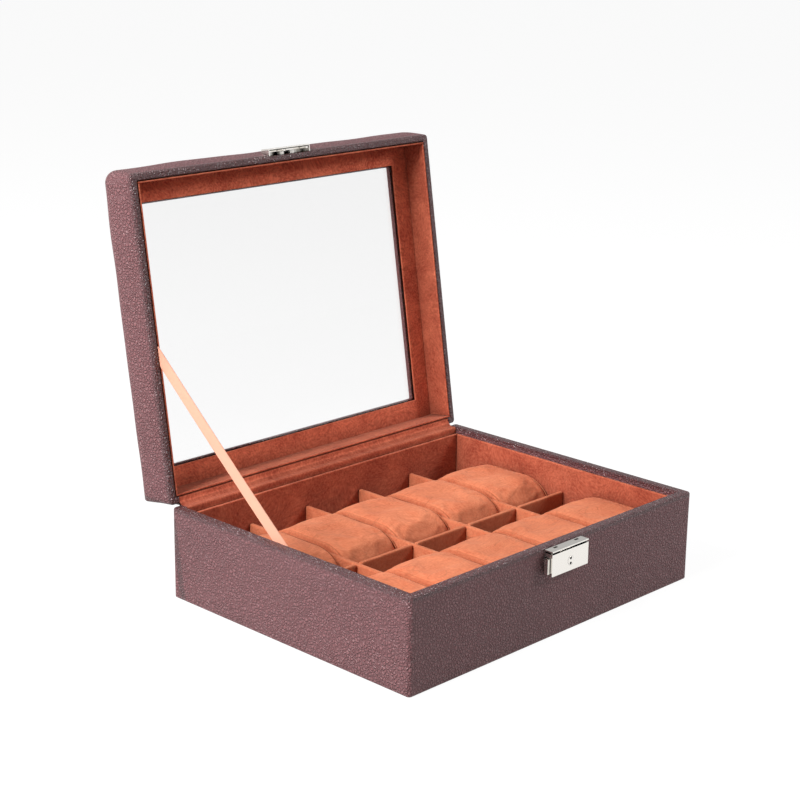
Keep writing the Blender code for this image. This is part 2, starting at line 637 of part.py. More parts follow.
def build_lid_shell(lid):
    """Rails, top board, padding and leather of the lid."""
    outer = COVER_SEAT
    x_out = HALF_WIDTH - outer
    y_out = HALF_DEPTH - outer
    x_in = HALF_WIDTH - RAIL_INNER
    y_in = HALF_DEPTH - RAIL_INNER
    rise = (LID_RIM + COVER_SEAT, GLASS_HIGH)
    add_box("lid_left_rail", (-x_out, -x_in), both(y_out), rise, "board", lid, BOARD_ROUND)
    add_box("lid_right_rail", (x_in, x_out), both(y_out), rise, "board", lid, BOARD_ROUND)
    between = both(x_in - SEAT_GAP)
    front_rail = add_box("lid_front_rail", between, (-y_out, -y_in), rise, "board", lid)
    add_box("lid_rear_rail", between, (y_in, y_out), rise, "board", lid)
    window = LEATHER_WINDOW_MARGIN - COVER_SEAT
    add_ring("lid_top_board", flat_section(outer, window, TOP_BOARD_LOW, TOP_BOARD_HIGH, TOP_BOARD_CORNER_RADIUS),
             "board", lid)

    section = lid_section()
    cover = add_skin("lid_leather_cover", section, LEATHER, "leather", lid)
    strip_bay = both(HALF_WIDTH - LID_RIM_WIDTH - SEAT_GAP)
    combine(cover, box_cutter(strip_bay, (y_in - LID_RAIL, HALF_DEPTH + CUT_OVERRUN),
                              (LID_RIM - CUT_OVERRUN, LID_RIM + REAR_SKIN_CUT), lid))
    combine(cover, box_cutter(strip_bay, (y_in - LID_RAIL, y_in + LID_RAIL / 2),
                              (LID_RIM, LID_RIM + LID_TURN_IN + CUT_OVERRUN), lid))
    combine(cover, box_cutter(both(CATCH_WIDTH / 2 + SEAT_GAP), (CATCH_FRONT, CATCH_BACK + SEAT_GAP / 2),
                              (LID_RIM - CUT_OVERRUN, CATCH_LOW + CATCH_HEIGHT + SEAT_GAP), lid))
    for x in both(BOSS_X):
        reach = (FRONT - CUT_OVERRUN, FRONT + COVER_SEAT + SCREW_GRIP + SEAT_GAP)
        combine(front_rail, rod_cutter(SCREW_SHANK_RADIUS + SEAT_GAP, reach, x, CATCH_LOW + CATCH_HEIGHT / 2,
                                       RIVET_SEGMENTS, lid))

    first = 2 * FOLD_STEPS + 2
    last = len(section) - FOLD_STEPS - 1
    padding = inner_section(section[first:last], COVER_SEAT)
    seat = COVER_SEAT - SEAT_GAP
    board_top = TOP_BOARD_HIGH + SEAT_GAP
    padding.append((padding[-1][0], board_top, BOARD_ROUND))
    padding.append((seat, board_top, TOP_BOARD_CORNER_RADIUS))
    padding.append((seat, TOP_BOARD_LOW, BOARD_ROUND))
    padding.append((seat, padding[0][1], BOARD_ROUND))
    foam = add_ring("lid_padding", padding, "foam", lid)
    combine(foam, box_cutter(both(BOX_WIDTH), (HALF_DEPTH - LID_RIM_CORNER_RADIUS, BOX_DEPTH),
                             (LID_RIM, LID_CROWN), lid))
    combine(foam, box_cutter(both(CATCH_WIDTH / 2 + COVER_SEAT), (CATCH_FRONT, CATCH_BACK),
                             (LID_RIM, CATCH_LOW + CATCH_HEIGHT + COVER_SEAT), lid))


def build_lid_window(lid):
    """Glass, the suede frame under it and the thin suede lips round the lid's inside."""
    margin = GLASS_MARGIN
    add_box("lid_glass", both(HALF_WIDTH - margin), both(HALF_DEPTH - margin), (GLASS_LOW, GLASS_HIGH), "glass",
            lid)
    outer = RAIL_INNER + SEAT_GAP
    window = LINING_WINDOW_MARGIN
    frame = add_ring("lid_lining_frame", flat_section(outer, window, FRAME_LOW, FRAME_HIGH, LEAST_CORNER), "suede",
                     lid)
    add_bevel(frame, SOFT_EDGE)
    x_out = HALF_WIDTH - LID_LINER_OUTER
    y_out = HALF_DEPTH - LID_LINER_OUTER
    x_in = HALF_WIDTH - LID_LINER_INNER
    y_in = HALF_DEPTH - LID_LINER_INNER
    rise = (LID_RIM, FRAME_LOW - SEAT_GAP)
    add_box("lid_liner_front", both(x_out), (-y_out, -y_in), rise, "suede", lid)
    add_box("lid_liner_rear", both(x_out), (y_in, y_out), rise, "suede", lid)
    between = both(y_in - SEAT_GAP)
    add_box("lid_liner_left", (-x_out, -x_in), between, rise, "suede", lid)
    add_box("lid_liner_right", (x_in, x_out), between, rise, "suede", lid)


def opened(y, z):
    """Where a point of the shut lid is with the lid open, as Y and Z."""
    turned = Matrix.Rotation(-OPEN_ANGLE, 3, "X") @ (Vector((0, y, z)) - HINGE) + HINGE
    return turned.y, turned.z


def build_hinge_strips():
    """The leather spine outside and the suede strip inside that join the lid to the base."""
    half_width = HALF_WIDTH - BASE_RIM_WIDTH - STRIP_END_GAP
    offset = SEAT_GAP + INNER_STRIP / 2
    base_face = HALF_DEPTH - BOARD_INNER - offset
    top = BOARD_TOP + offset
    lid_face = HALF_DEPTH - RAIL_INNER - offset
    low = LID_RIM + COVER_SEAT - offset
    path = [(base_face, BASE_HEIGHT - INNER_STRIP_TURN_IN), (base_face, top)]
    path.append((HINGE.y - INNER_STRIP_SLACK, top))
    path.append(opened(HINGE.y - INNER_STRIP_SLACK, low))
    path.append(opened(lid_face, low))
    path.append(opened(lid_face, LID_RIM + INNER_STRIP_LID_TURN_IN))
    add_strip("inner_hinge_strip", path, half_width, INNER_STRIP, "suede")

    offset = SEAT_GAP + OUTER_STRIP / 2
    face = HALF_DEPTH + offset
    path = [(face, BASE_HEIGHT - OUTER_STRIP_BASE_REACH), (face, BASE_HEIGHT - OUTER_STRIP_BEND)]
    path.append(opened(face, LID_RIM + OUTER_STRIP_BEND))
    path.append(opened(face, LID_RIM + OUTER_STRIP_LID_REACH))
    add_strip("outer_hinge_strip", path, half_width, OUTER_STRIP, "leather")


def build_ribbon():
    """The flat ribbon that stops the lid, held in the slots behind the left-hand linings."""
    base_x = -(HALF_WIDTH - BASE_RIM_WIDTH - STAY_SLOT / 2)
    lid_x = -(HALF_WIDTH - LID_RIM_WIDTH - STAY_SLOT / 2)
    low = Vector((base_x, RIBBON_BASE_Y, LINER_TOP))
    high = Vector((lid_x, *opened(HALF_DEPTH - RIBBON_LID_REACH, LID_RIM)))
    run = (high - low).normalized()
    low = low - run * RIBBON_BASE_DEPTH
    high = high + run * RIBBON_LID_DEPTH
    shape = bmesh.new()
    bmesh.ops.create_cube(shape, size=1.0)
    bmesh.ops.scale(shape, vec=(RIBBON_THICKNESS, RIBBON_WIDTH, (high - low).length), verts=shape.verts)
    item = object_from(shape, (low + high) / 2)
    across = run.cross(Vector((1, 0, 0))).normalized()
    item.rotation_euler = Matrix((across.cross(run), across, run)).transposed().to_euler()
    finish(item, "ribbon_stay", "satin")


def build_lock():
    """The slide lock: base plate with two slots, cover, sprung slide with two noses, and the key's rotor."""
    half = LOCK_WIDTH / 2
    plate = add_box("lock_base_plate", both(half), (LOCK_PLATE_FRONT, FRONT - SEAT_GAP),
                    (LOCK_PLATE_BOTTOM, LOCK_FLANGE_TOP), "nickel")
    flange = box_cutter(both(half), (COVER_FRONT + SEAT_GAP, FRONT - SEAT_GAP - LOCK_PLATE / 2),
                        (LOCK_FLANGE_TOP - LOCK_PLATE, LOCK_FLANGE_TOP))
    combine(plate, flange, "UNION")
    for x in both(HOOK_X):
        left = x - HOOK_WIDTH / 2 - SEAT_GAP
        right = x + HOOK_WIDTH / 2 + HOOK_BARB + SEAT_GAP
        room = HOOK_PLATE / 2 + SEAT_GAP
        combine(plate, box_cutter((left, right), (HOOK_MIDDLE - room, HOOK_MIDDLE + room),
                                  (LOCK_FLANGE_TOP - LOCK_PLATE - CUT_OVERRUN, LOCK_FLANGE_TOP + CUT_OVERRUN)))
    for x in both(RIVET_X):
        combine(plate, rod_cutter(RIVET_HEAD_RADIUS + SEAT_GAP, (COVER_FRONT, FRONT), x, RIVET_HEIGHT,
                                  RIVET_SEGMENTS))

    shape, middle = box_shape(both(half), (COVER_FRONT, COVER_BACK), (LOCK_COVER_BOTTOM, LOCK_COVER_TOP))
    open_faces = [face for face in shape.faces if face.normal.y > 0.5 or face.normal.z > 0.5]
    bmesh.ops.delete(shape, geom=open_faces, context="FACES")
    cover = finish(object_from(shape, middle), "lock_cover", "nickel")
    add_bevel(cover, LOCK_EDGE_ROUND)
    add_solidify(cover, LOCK_PLATE)
    tab_front = SLIDE_FRONT - TAB_DEPTH + SLIDE_PLATE / 2
    combine(cover, box_cutter((-half - CUT_OVERRUN, -half + LOCK_PLATE + CUT_OVERRUN),
                              (tab_front - SEAT_GAP, COVER_BACK + CUT_OVERRUN),
                              (TAB_BOTTOM - SEAT_GAP, TAB_TOP + SEAT_GAP)))
    combine(cover, rod_cutter(KEY_RADIUS + SEAT_GAP, (COVER_FRONT - CUT_OVERRUN, COVER_FRONT + 2 * LOCK_PLATE),
                              0, KEY_HEIGHT, KEY_SEGMENTS))

    build_slide(tab_front)
    build_key_rotor()
    build_spring(half - LOCK_PLATE - SEAT_GAP)
    build_studs("lock_rivet", RIVET_X, RIVET_HEIGHT, LOCK_PLATE_FRONT + SEAT_GAP / 2, RIVET_HEAD_RADIUS,
                RIVET_HEAD, RIVET_SHANK_RADIUS, FRONT + COVER_SEAT + RIVET_GRIP)


def build_slide(tab_front):
    """The slide's plate with its window and noses, and the tab that a thumb pushes."""
    right_arm = HOOK_X + ARM_GAP
    left_arm = -HOOK_X + ARM_GAP
    nose_low = NOSE_TOP - NOSE_HEIGHT
    nose_tip = ARM_GAP - HOOK_BARB
    outline = [
        (SLIDE_LEFT, SLIDE_BOTTOM), (SLIDE_RIGHT, SLIDE_BOTTOM), (SLIDE_RIGHT, SLIDE_TOP - SLIDE_BAND),
        (right_arm + ARM_WIDTH, SLIDE_TOP - SLIDE_BAND), (right_arm + ARM_WIDTH, NOSE_TOP),
        (HOOK_X + nose_tip, NOSE_TOP), (HOOK_X + nose_tip, nose_low), (right_arm, nose_low),
        (right_arm, SLIDE_TOP), (left_arm + ARM_WIDTH, SLIDE_TOP), (left_arm + ARM_WIDTH, NOSE_TOP),
        (-HOOK_X + nose_tip, NOSE_TOP), (-HOOK_X + nose_tip, nose_low), (left_arm, nose_low),
        (left_arm, SLIDE_TOP), (SLIDE_LEFT, SLIDE_TOP),
    ]
    reach = CAM_WIDTH / 2 + SLIDE_TRAVEL + SEAT_GAP
    rise = CAM_LENGTH / 2 + SEAT_GAP
    window = [(-reach, KEY_HEIGHT - rise), (-reach, KEY_HEIGHT + rise), (rise, KEY_HEIGHT + rise),
              (rise, KEY_HEIGHT - rise)]
    slide = finish(outline_solid((outline, window), (SLIDE_FRONT, SLIDE_BACK)), "lock_slide", "nickel")
    tab_left = -LOCK_WIDTH / 2 - TAB_REACH
    tab = box_cutter((tab_left, tab_left + TAB_ROOT), (tab_front, SLIDE_MIDDLE), (TAB_BOTTOM, TAB_TOP))
    combine(slide, tab, "UNION")


def build_key_rotor():
    """A turned plug with two pin holes in its face and a bar behind that blocks the slide when turned."""
    face = COVER_FRONT - KEY_PROUD
    collar = COVER_FRONT + LOCK_PLATE + SEAT_GAP
    neck = collar + KEY_COLLAR_DEPTH
    profile = [(0, face), (KEY_RADIUS, face), (KEY_RADIUS, collar), (KEY_COLLAR_RADIUS, collar),
               (KEY_COLLAR_RADIUS, neck), (KEY_NECK_RADIUS, neck), (KEY_NECK_RADIUS, SLIDE_MIDDLE),
               (0, SLIDE_MIDDLE)]
    shape = bmesh.new()
    points = [shape.verts.new((radius, 0, face - y)) for radius, y in profile]
    for here, there in zip(points, points[1:]):
        shape.edges.new((here, there))
    bmesh.ops.spin(shape, geom=shape.verts[:] + shape.edges[:], cent=(0, 0, 0), axis=(0, 0, 1),
                   angle=2 * math.pi, steps=KEY_SEGMENTS, use_merge=True)
    bmesh.ops.remove_doubles(shape, verts=shape.verts, dist=SPRING_WIRE_RADIUS / 10)
    bmesh.ops.rotate(shape, matrix=Matrix.Rotation(math.pi / 2, 3, "X"), verts=shape.verts)
    bmesh.ops.recalc_face_normals(shape, faces=shape.faces)
    rotor = finish(object_from(shape, Vector((0, face, KEY_HEIGHT))), "key_rotor", "nickel")
    cam = box_cutter(both(CAM_WIDTH / 2), (SLIDE_FRONT, SLIDE_BACK),
                     (KEY_HEIGHT - CAM_LENGTH / 2, KEY_HEIGHT + CAM_LENGTH / 2))
    combine(rotor, cam, "UNION")
    for z in both(KEY_PIN_SPACING / 2):
        combine(rotor, rod_cutter(KEY_PIN_RADIUS, (face - CUT_OVERRUN, face + KEY_PIN_DEPTH), 0, KEY_HEIGHT + z,
                                  RIVET_SEGMENTS))


def build_spring(end):
    """A small coil between the slide and the cover's right-hand wall."""
    start = SLIDE_RIGHT + SEAT_GAP
    first = start + SPRING_END
    last = end - SPRING_END
    count = SPRING_TURNS * SPRING_TURN_POINTS
    points = [(start, SPRING_RADIUS, 0)]
    for step in range(count + 1):
        angle = 2 * math.pi * step / SPRING_TURN_POINTS
        x = first + (last - first) * step / count
        points.append((x, SPRING_RADIUS * math.cos(angle), SPRING_RADIUS * math.sin(angle)))
    points.append((end, SPRING_RADIUS, 0))
    curve = bpy.data.curves.new("coil", "CURVE")
    curve.dimensions = "3D"
    curve.bevel_depth = SPRING_WIRE_RADIUS
    curve.bevel_resolution = 1
    curve.use_fill_caps = True
    spline = curve.splines.new("POLY")
    spline.points.add(len(points) - 1)
    for point, place in zip(spline.points, points):
        point.co = (*place, 1)
    item = bpy.data.objects.new("coil", curve)
    item.location = (0, SLIDE_MIDDLE - SPRING_RADIUS, SPRING_HEIGHT)
    finish(item, "lock_spring", "nickel")


def build_studs(name, x, z, head_front, head_radius, head, shank_radius, end, carrier=None):
    """A left and a right stud along Y, each with a thin head in front."""
    for side, place in (("left", -x), ("right", x)):
        shank = object_from(*rod_shape(shank_radius, (head_front + head / 2, end), place, z, RIVET_SEGMENTS))
        finish(shank, "%s_%s" % (name, side), "nickel", carrier)
        disc = rod_cutter(head_radius, (head_front, head_front + head), place, z, RIVET_SEGMENTS, carrier)
        combine(shank, disc, "UNION")


def build_catch(lid):
    """The catch on the lid's front: a cover, the plate with two hooks, and its two screws."""
    half = CATCH_WIDTH / 2
    high = CATCH_LOW + CATCH_HEIGHT
    shape, middle = box_shape(both(half), (CATCH_FRONT, CATCH_BACK), (CATCH_LOW, high))
    open_faces = [face for face in shape.faces if face.normal.y > 0.5 or face.normal.z < -0.5]
    bmesh.ops.delete(shape, geom=open_faces, context="FACES")
    cover = finish(object_from(shape, middle), "catch_cover", "nickel", lid)
    add_bevel(cover, LOCK_EDGE_ROUND)
    add_solidify(cover, CATCH_WALL)

    x_end = half - CATCH_WALL - SEAT_GAP
    low = CATCH_LOW + SEAT_GAP
    top = high - CATCH_WALL - SEAT_GAP
    ramp = HOOK_BARB_HEIGHT / 2
    plate_span = (HOOK_MIDDLE - HOOK_PLATE / 2, HOOK_MIDDLE + HOOK_PLATE / 2)
    plate = add_box("catch_hook_plate", both(x_end), plate_span, (low, top), "nickel", lid)
    for x in both(HOOK_X):
        left = x - HOOK_WIDTH / 2
        right = x + HOOK_WIDTH / 2
        barb = right + HOOK_BARB
        root = low + HOOK_WIDTH / 2
        hook = [(left, root), (left, HOOK_LOW), (right, HOOK_LOW), (barb, HOOK_LOW + ramp), (barb, BARB_HIGH),
                (right, BARB_HIGH), (right, root)]
        combine(plate, as_cutter(outline_solid((hook,), plate_span), lid), "UNION")
    z = CATCH_LOW + CATCH_HEIGHT / 2
    for x in both(BOSS_X):
        boss = rod_cutter(BOSS_RADIUS, (HOOK_MIDDLE, CATCH_BACK), x, z, KEY_SEGMENTS, lid)
        combine(plate, boss, "UNION")
        combine(plate, rod_cutter(SCREW_HEAD_RADIUS + SEAT_GAP, (CATCH_FRONT, plate_span[1]), x, z,
                                  RIVET_SEGMENTS, lid))
        combine(plate, rod_cutter(SCREW_SHANK_RADIUS + SEAT_GAP, (CATCH_FRONT, FRONT + LID_RIM_WIDTH), x, z,
                                  RIVET_SEGMENTS, lid))
    build_studs("catch_screw", BOSS_X, z, plate_span[1] - SEAT_GAP - SCREW_HEAD, SCREW_HEAD_RADIUS, SCREW_HEAD,
                SCREW_SHANK_RADIUS, FRONT + COVER_SEAT + SCREW_GRIP, lid)


def main():
    lid = bpy.data.objects.new("lid_hinge", None)
    lid.location = HINGE
    PARTS.objects.link(lid)
    build_base_shell()
    build_lining()
    build_dividers()
    build_pillows()
    build_lid_shell(lid)
    build_lid_window(lid)
    build_catch(lid)
    lid.rotation_euler = (-OPEN_ANGLE, 0, 0)
    build_hinge_strips()
    build_ribbon()
    build_lock()


main()
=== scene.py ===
"""Watch box with a padded window lid: leatherette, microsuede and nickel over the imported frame."""

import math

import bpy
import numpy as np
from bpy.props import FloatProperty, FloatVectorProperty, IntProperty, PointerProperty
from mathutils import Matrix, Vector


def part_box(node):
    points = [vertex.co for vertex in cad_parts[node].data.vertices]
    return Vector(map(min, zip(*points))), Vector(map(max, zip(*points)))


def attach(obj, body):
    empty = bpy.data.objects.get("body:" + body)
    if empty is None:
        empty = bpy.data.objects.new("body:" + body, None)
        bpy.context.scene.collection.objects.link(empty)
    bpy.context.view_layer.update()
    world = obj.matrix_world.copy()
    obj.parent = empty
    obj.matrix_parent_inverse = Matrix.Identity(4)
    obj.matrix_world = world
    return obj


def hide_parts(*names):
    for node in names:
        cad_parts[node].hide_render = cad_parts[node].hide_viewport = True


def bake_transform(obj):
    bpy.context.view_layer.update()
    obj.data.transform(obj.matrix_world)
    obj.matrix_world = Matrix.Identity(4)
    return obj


bl_info = {
    "name": "Watch box",
    "version": (1, 0, 0),
    "blender": (4, 5, 0),
    "location": "3D View > Sidebar > Watch box",
    "description": "Dresses the packed watch box in leatherette, microsuede, nickel and glass",
    "category": "Object",
}

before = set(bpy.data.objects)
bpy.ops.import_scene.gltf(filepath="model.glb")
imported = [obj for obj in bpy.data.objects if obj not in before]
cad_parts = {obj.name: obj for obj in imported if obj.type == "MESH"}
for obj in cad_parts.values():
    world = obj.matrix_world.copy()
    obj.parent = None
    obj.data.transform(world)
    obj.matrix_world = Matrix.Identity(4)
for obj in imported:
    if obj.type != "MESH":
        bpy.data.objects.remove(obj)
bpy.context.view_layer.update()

PILLOWS = ["pillow_%s_%d" % (row, column) for row in ("front", "rear") for column in range(1, 6)]
BASE_LININGS = ["liner_front", "liner_rear", "liner_left", "liner_right", "floor_pad"]
LID_LININGS = ["lid_liner_front", "lid_liner_rear", "lid_liner_left", "lid_liner_right"]
DIVIDERS = ["cross_divider", "depth_divider_1", "depth_divider_2", "depth_divider_3", "depth_divider_4"]
METALWORK = ["lock_base_plate", "lock_cover", "lock_rivet_left", "lock_rivet_right", "lock_spring", "lock_slide",
             "key_rotor", "catch_cover", "catch_hook_plate", "catch_screw_left", "catch_screw_right"]
BOARDS = ["base_bottom_board", "base_front_board", "base_rear_board", "base_left_board", "base_right_board",
          "lid_front_rail", "lid_rear_rail", "lid_left_rail", "lid_right_rail"]
FRAME_FINISHES = ((BASE_LININGS, "base lining"), (LID_LININGS, "lid lining"), (["lid_lining_frame"], "frame"),
                  (DIVIDERS, "suede"), (METALWORK, "nickel"), (BOARDS, "board"),
                  (["lid_top_board"], "black board"), (["lid_glass"], "glass"))

LEAST_FOLD = 0.0005    # Least radius of a covering's upright corner
SPINE_MIDDLE = 0.0003  # From the base's rear face to the middle of the spine's leather
STRIP_STEPS = 120      # Mesh steps along the ribbon and across the hinge strips
ROUND_STEPS = 120      # Mesh steps round a pillow
# A pillow's grid has 52 steps across it, and its seam lies half way along the 14th from either side.
SEAM_ROW = 0.5 - 13.5 / 52
SOFT = {"interpolation_type": "SMOOTHSTEP"}
WHITE = (1.0, 1.0, 1.0, 1.0)
NAP_SHEEN = "#F6C0A4"
PAINTED_BORE_SHADE = "#141212"


def linear(code):
    """Linear red, green and blue from an sRGB hex colour."""
    channels = [int(code[start:start + 2], 16) / 255 for start in (1, 3, 5)]
    return tuple(c / 12.92 if c <= 0.04045 else ((c + 0.055) / 1.055) ** 2.4 for c in channels)


def length(name, description, default):
    return FloatProperty(name=name, description=description, default=default, min=0.0, unit="LENGTH", precision=4)


def colour(name, description, code):
    return FloatVectorProperty(name=name, description=description, default=linear(code), subtype="COLOR", size=3,
                               min=0.0, max=1.0)


class WatchBoxSizes(bpy.types.PropertyGroup):
    """Sizes of the covering, the pillows and the ribbon."""
    width: length("Width", "Outside width of the base at its rim", 0.260)
    depth: length("Depth", "Outside depth of the base at its rim", 0.206)
    base_height: length("Base height", "Height of the base's rim above the table", 0.060)
    closed_gap: length("Gap when shut", "Gap between the two rims when the lid is shut", 0.0006)
    lid_height: length("Lid height", "Height of the padded lid above its rim", 0.0284)
    leather: length("Leather", "Thickness of the covering", 0.0006)
    base_corner: length("Base corner", "Radius of the base's upright corners", 0.0025)
    rim_outer: length("Outer rim fold", "Radius where the covering turns over the rim", 0.0015)
    rim_inner: length("Inner rim fold", "Radius where the covering turns down inside", 0.0010)
    base_rim: length("Base rim", "Width of the base's rim", 0.0065)
    lid_rim: length("Lid rim", "Width of the lid's rim", 0.0046)
    lid_corner: length("Lid corner", "Radius of the padded lid's upright corners at their fullest", 0.0080)
    lid_edge: length("Lid edge", "Radius of the padded edge round the lid's top", 0.0080)
    lid_bulge: length("Lid bulge", "How far the padded sides stand out past the rim", 0.0027)
    lid_crown_drop: length("Crown drop", "How far the padded top falls towards the window", 0.0030)
    window_margin: length("Window margin", "From the lid's outside to the covering's edge at the window", 0.0203)
    pillow_crown: length("Pillow crown", "How far a pillow's band rises between its seams", 0.0008)
    pillow_end: length("Pillow end", "Length of a pillow's rounded end", 0.0225)
    seam_depth: length("Seam depth", "How far a pillow's seam is drawn in", 0.0016)
    seam_setback: length("Seam setback", "From a pillow's side to its seam", 0.0008)
    panel_round: length("Panel rounding", "Height of the round between a pillow's side and its seam", 0.0010)
    lining_drop: length("Lining drop", "From the base's rim down to the lining's folded edge", 0.0042)
    ribbon_width: length("Ribbon width", "Width of the stay", 0.0085)
    ribbon_thickness: length("Ribbon thickness", "Thickness of the stay", 0.0003)
    open_angle: FloatProperty(name="Open angle", description="How far the lid leans back on its ribbon",
                              default=math.radians(99.0), subtype="ANGLE")
    key_height: length("Key height", "Height of the rotor's middle above the table", 0.0495)
    pin_spacing: length("Pin spacing", "Between the two bores in the rotor's face", 0.0032)
    around: IntProperty(name="Steps along a side", description="Mesh steps along each side of the covering",
                        default=70, min=8, max=200)


class WatchBoxColours(bpy.types.PropertyGroup):
    """Colours of the finishes."""
    leather: colour("Leatherette", "Raised grain of the covering", "#845558")
    # The crease colour is partly the grain's own tone and partly painted shade.
    leather_crease_and_shade: colour("Leatherette creases", "Creases between the grain", "#6A4346")
    suede_light: colour("Suede, brushed up", "Nap that lies towards the light", "#F3976F")
    suede_dark: colour("Suede, brushed down", "Nap that lies away from the light", "#CC6846")
    # The lining's colours are the pillows' suede painted darker, as painted shade inside the box.
    lining_light: colour("Lining, brushed up", "Lining's nap that lies towards the light", "#D27457")
    lining_dark: colour("Lining, brushed down", "Lining's nap that lies away from the light", "#9C4533")
    ribbon: colour("Ribbon", "Face of the satin ribbon", "#F4AD92")
    nickel: colour("Nickel", "Plating of the lock and catch", "#E9E5DF")
    glass: colour("Glass", "Tint of the window", "#F3F3F3")
    felt: colour("Felt", "Felt under the base", "#1E1B1B")
    board: colour("Fibreboard", "Core of the box", "#A67F57")
    floor: colour("Floor", "Studio floor and backdrop", "#F4F4F4")


# Materials

def add_node(material, kind, inputs=None, **settings):
    """Adds a node, sets its properties, and fills or links its inputs by name or place."""
    node = material.node_tree.nodes.new(kind)
    for name, value in settings.items():
        setattr(node, name, value)
    for name, value in (inputs or {}).items():
        if isinstance(value, bpy.types.NodeSocket):
            material.node_tree.links.new(value, node.inputs[name])
        else:
            node.inputs[name].default_value = value
    return node


def new_material(name):
    """An empty node material."""
    material = bpy.data.materials.get(name)
    if material:
        bpy.data.materials.remove(material)
    material = bpy.data.materials.new(name)
    material.use_nodes = True
    material.node_tree.nodes.clear()
    return material


def placed_material(name):
    """An empty node material, and the place in metres on its object."""
    material = new_material(name)
    return material, add_node(material, "ShaderNodeTexCoord").outputs["Object"]


def per_metre(millimetres):
    """Texture scale for a feature of this size on Object coordinates in metres."""
    return 1000.0 / millimetres


def rgba(value):
    return (*value, 1.0)


def reckon(material, operation, *values):
    """The result of one sum on numbers or sockets."""
    return add_node(material, "ShaderNodeMath", dict(enumerate(values)), operation=operation).outputs[0]


def vector(material, operation, first, second):
    return add_node(material, "ShaderNodeVectorMath", {0: first, 1: second}, operation=operation).outputs[0]


def scaled(material, value, share):
    """A colour or place multiplied by a share."""
    return add_node(material, "ShaderNodeVectorMath", {0: value, "Scale": share}, operation="SCALE").outputs[0]


def distance_from(material, value, middle):
    """How far a value lies from a middle, either way."""
    return reckon(material, "ABSOLUTE", reckon(material, "SUBTRACT", value, middle))


def remap(material, value, source=(0.0, 1.0), target=(0.0, 1.0), **settings):
    """A value brought from one range to another, and held inside it."""
    ends = {"Value": value, "From Min": source[0], "From Max": source[1], "To Min": target[0], "To Max": target[1]}
    return add_node(material, "ShaderNodeMapRange", ends, **settings).outputs["Result"]


def noise(material, place, millimetres, detail=2.0, roughness=0.5, output="Fac"):
    """Noise whose largest features have this size."""
    return add_node(material, "ShaderNodeTexNoise", {"Vector": place, "Scale": per_metre(millimetres),
                                                     "Detail": detail, "Roughness": roughness}).outputs[output]


def mixed(material, factor, first, second):
    """A colour between two by a factor."""
    mix = add_node(material, "ShaderNodeMix", data_type="RGBA")
    slots = [slot for slot in mix.inputs if slot.enabled]
    material.node_tree.links.new(factor, slots[0])
    slots[1].default_value = rgba(first)
    slots[2].default_value = rgba(second)
    return mix.outputs[2]


def open_air(material, reach, source, target):
    """How open the surface lies to the air within this reach, brought to a range."""
    air = add_node(material, "ShaderNodeAmbientOcclusion", {"Distance": reach}, samples=8).outputs["AO"]
    return remap(material, air, source, target)


def any_ray(material, rays, *kinds):
    """One for a ray of any of these kinds."""
    seen = rays.outputs["Is %s Ray" % kinds[0]]
    for kind in kinds[1:]:
        seen = reckon(material, "MAXIMUM", seen, rays.outputs["Is %s Ray" % kind])
    return seen


def bumped(material, height, strength, distance):
    return add_node(material, "ShaderNodeBump", {"Height": height, "Strength": strength,
                                                 "Distance": distance}).outputs["Normal"]


def surface(material, inputs):
    """Ends the material in one principled shader."""
    shader = add_node(material, "ShaderNodeBsdfPrincipled", inputs)
    add_node(material, "ShaderNodeOutputMaterial", {"Surface": shader.outputs[0]})
    return material


def near_folds(material, place, drop, full, none):
    """One within the first distance of the base's folded edge or the open lid's rim, nothing past the second."""
    s = bpy.context.scene.watch_box_sizes
    turn = open_up(s)
    up = Vector((0.0, 0.0, 1.0))
    lid_up = turn.to_3x3() @ up
    lid_level = lid_up.dot(turn @ Vector((0.0, 0.0, s.base_height + s.closed_gap)))
    near = []
    for normal, level in ((up, s.base_height - drop), (lid_up, lid_level)):
        along = add_node(material, "ShaderNodeVectorMath", {0: place, 1: normal}, operation="DOT_PRODUCT")
        away = distance_from(material, along.outputs["Value"], level)
        near.append(remap(material, away, (full, none), (1.0, 0.0)))
    return reckon(material, "MAXIMUM", *near)


def leatherette(colours):
    """Polyurethane leather, embossed with a pebble grain: satin, and glossier on the tops of the pebbles."""
    material, place = placed_material("embossed polyurethane leather")
    # The pebbles of the grain are 2 mm across, and a wander of 4 mm makes them uneven.
    wander = vector(material, "SUBTRACT", noise(material, place, 4.0, output="Color"), (0.5, 0.5, 0.5))
    moved = vector(material, "ADD", place, scaled(material, wander, 0.0018))
    pebbles = add_node(material, "ShaderNodeTexVoronoi", {"Vector": moved, "Scale": per_metre(2.0)},
                       feature="DISTANCE_TO_EDGE").outputs["Distance"]
    domes = remap(material, pebbles, (0.0, 0.30), **SOFT)
    # Pores and hair cells of 0.9 mm break up each pebble.
    height = reckon(material, "MULTIPLY_ADD", noise(material, place, 0.9, 3.0), 0.35, domes)
    # The hide is a little lighter where it has been handled and stretched, in patches of 60 mm.
    tone = remap(material, noise(material, place, 60.0, 3.0), (0.3, 0.7), (0.93, 1.07))
    # The creases' darker colour is partly the grain's own tone and partly painted shade.
    crease_and_shade = remap(material, height, (0.15, 1.05))
    skin = scaled(material, mixed(material, crease_and_shade, colours.leather_crease_and_shade, colours.leather), tone)
    shine = remap(material, height, (0.1, 1.1), (0.58, 0.42))
    # Round the rims, where the skin is stretched over its fold, its colour is painted darker as painted shade, and
    # it is rubbed to a shine.
    rims = near_folds(material, place, drop=0.0, full=0.0014, none=0.0036)
    painted_rim_shade = remap(material, rims, target=(1.0, 0.62))
    polish = remap(material, rims, target=(1.0, 0.60))
    return surface(material, {
        "Base Color": scaled(material, skin, painted_rim_shade), "Roughness": reckon(material, "MULTIPLY", shine, polish),
        "Normal": bumped(material, height, 1.0, 0.0007), "IOR": 1.5, "Specular IOR Level": 0.5})


